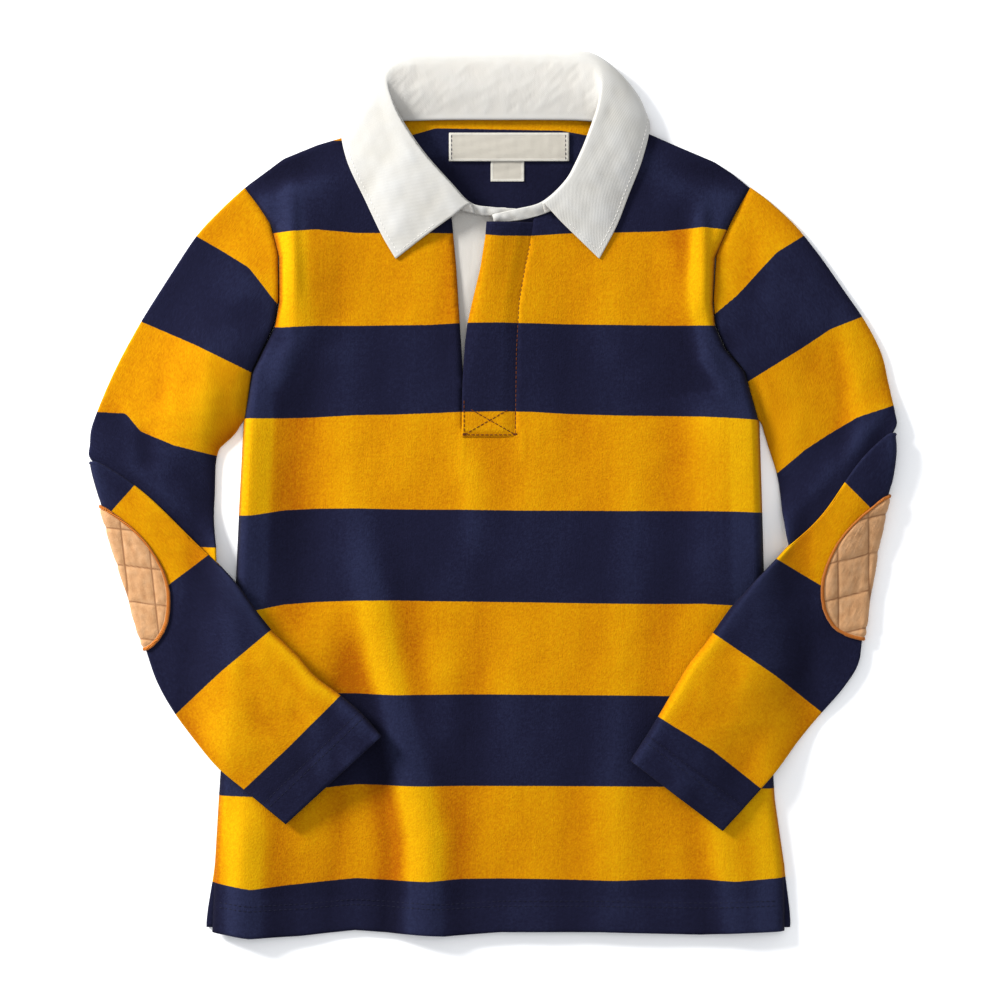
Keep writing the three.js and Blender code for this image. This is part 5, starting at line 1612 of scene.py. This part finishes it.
@dataclass
class Labels:
    """The blank neck label and the blank size tab under it."""

    form: BodyForm
    wardrobe: Wardrobe
    label: Tuple[float, float, float, float] = (-27.5, 46.8, 208.0, 225.4)
    tab: Tuple[float, float, float, float] = (-1.6, 18.9, 195.6, 209.0)

    def tape(self, name: str, node: str, area: Tuple[float, float, float, float], rise: float) -> Cloth:
        """Builds one piece of tape on the back's inside."""
        left, right, bottom, top = area
        across, up = np.meshgrid(np.linspace(0, 1, 70), np.linspace(0, 1, 26))
        x, y = left + (right - left) * across, bottom + (top - bottom) * up
        lift = rise * (1 + 0.25 * np.sin(math.pi * across) ** 0.7)
        z = self.form.back_top(y) + 0.5 + lift + 0.06 * ripple(x, y, 9, 91)
        rim = np.minimum(np.minimum(x - left, right - x), np.minimum(y - bottom, top - y))
        cloth = Cloth(np.stack([x, y, z], 2), wall=0.6, fields={"rim": rim}, spread=np.stack([x, y], 2) * MM)
        self.last = place_piece(cloth.build(name, self.wardrobe.label), Slot.LABEL, node)
        return cloth

    def build(self) -> None:
        """Builds the label, its tab and the stitches at the label's ends."""
        self.tape("label", "neck_label", self.label, 0.9)
        self.tape("tab", "size_tab", self.tab, 0.05)
        left, right, bottom, top = self.label
        runs = []
        for x in (left + 1.6, right - 2.0):
            y = np.linspace(bottom + 0.6, top - 0.6, 20)
            runs.append(np.stack([np.full(20, x), y, self.form.back_top(y) + 1.72], 1))
        ends = Thread(seed=23, radius=0.2, length=1.8).build("label_stitching", runs, self.wardrobe.navy)
        place_piece(ends, Slot.LABEL)


# Studio


@dataclass
class Studio:
    """The pale table, the soft light from the upper left and the camera straight above."""

    centre: Tuple[float, float] = (0.00403, -0.00217)
    height: float = 2.2
    view_width: float = 0.62
    tone: float = 0.82
    floor_colour: Colour = linear(252, 252, 252)

    def floor(self) -> None:
        """Builds the table top."""
        mesh = bpy.data.meshes.new("table_top")
        reach = 6.0
        corners = [(-reach, -reach, -0.0006), (reach, -reach, -0.0006), (reach, reach, -0.0006),
            (-reach, reach, -0.0006)]
        mesh.from_pydata(corners, [], [(0, 1, 2, 3)])
        graph = Graph("pale_table")
        cloud = graph.noise(90.0, 2.0)
        pale = graph.mix(cloud, self.floor_colour, linear(250, 250, 251))
        mesh.materials.append(graph.finish(Base_Color=pale, Roughness=0.9))
        table = bpy.data.objects.new("table_top", mesh)
        bpy.context.scene.collection.objects.link(table)

    def lamp(self, name: str, place: Tuple[float, float, float], size: float, power: float,
        tint: Colour) -> None:
        """Adds one soft lamp that points at the shirt."""
        light = bpy.data.lights.new(name, "AREA")
        light.shape, light.size = "DISK", size
        light.energy, light.color = power, tint[:3]
        lamp = bpy.data.objects.new(name, light)
        lamp.location = place
        x, y, z = place
        lamp.rotation_euler = (math.atan2(math.hypot(x, y), z), 0.0, math.atan2(x, -y))
        bpy.context.scene.collection.objects.link(lamp)

    def camera(self) -> None:
        """Adds the camera straight above the shirt."""
        data = bpy.data.cameras.new("camera")
        data.sensor_width = 36.0
        data.lens = data.sensor_width * (self.height - 0.004) / self.view_width
        camera = bpy.data.objects.new("camera", data)
        camera.location = (*self.centre, self.height)
        bpy.context.scene.collection.objects.link(camera)
        bpy.context.scene.camera = camera

    def build(self) -> None:
        """Sets up the view, the floor and the light."""
        scene = bpy.context.scene
        scene.view_settings.view_transform = "Standard"
        scene.view_settings.look = "None"
        scene.view_settings.gamma = self.tone
        world = bpy.data.worlds.new("soft_room")
        world.use_nodes = True
        world.node_tree.nodes["Background"].inputs["Color"].default_value = (0.95, 0.97, 1.0, 1.0)
        world.node_tree.nodes["Background"].inputs["Strength"].default_value = 0.78
        scene.world = world
        self.camera()
        self.floor()
        self.lamp("window", (-1.95, 1.3, 1.05), 0.7, 112.0, (1.0, 0.99, 0.97, 1.0))
        self.lamp("ceiling", (0.3, 0.2, 2.6), 1.6, 14.0, (1.0, 1.0, 1.0, 1.0))


def main() -> None:
    """Builds the shirt piece by piece over its frame."""
    logging.basicConfig(level=logging.INFO, format="%(message)s")
    Studio().build()
    form, wardrobe = BodyForm(), Wardrobe()
    Panels(form, wardrobe).build()
    Placket(form, wardrobe).build()
    Labels(form, wardrobe).build()
    Collar(wardrobe).build()
    for shape in (LEFT_SLEEVE, RIGHT_SLEEVE):
        Sleeve(shape, form, wardrobe).build(rests_on=["front"])


if __name__ == "__main__":
    main()
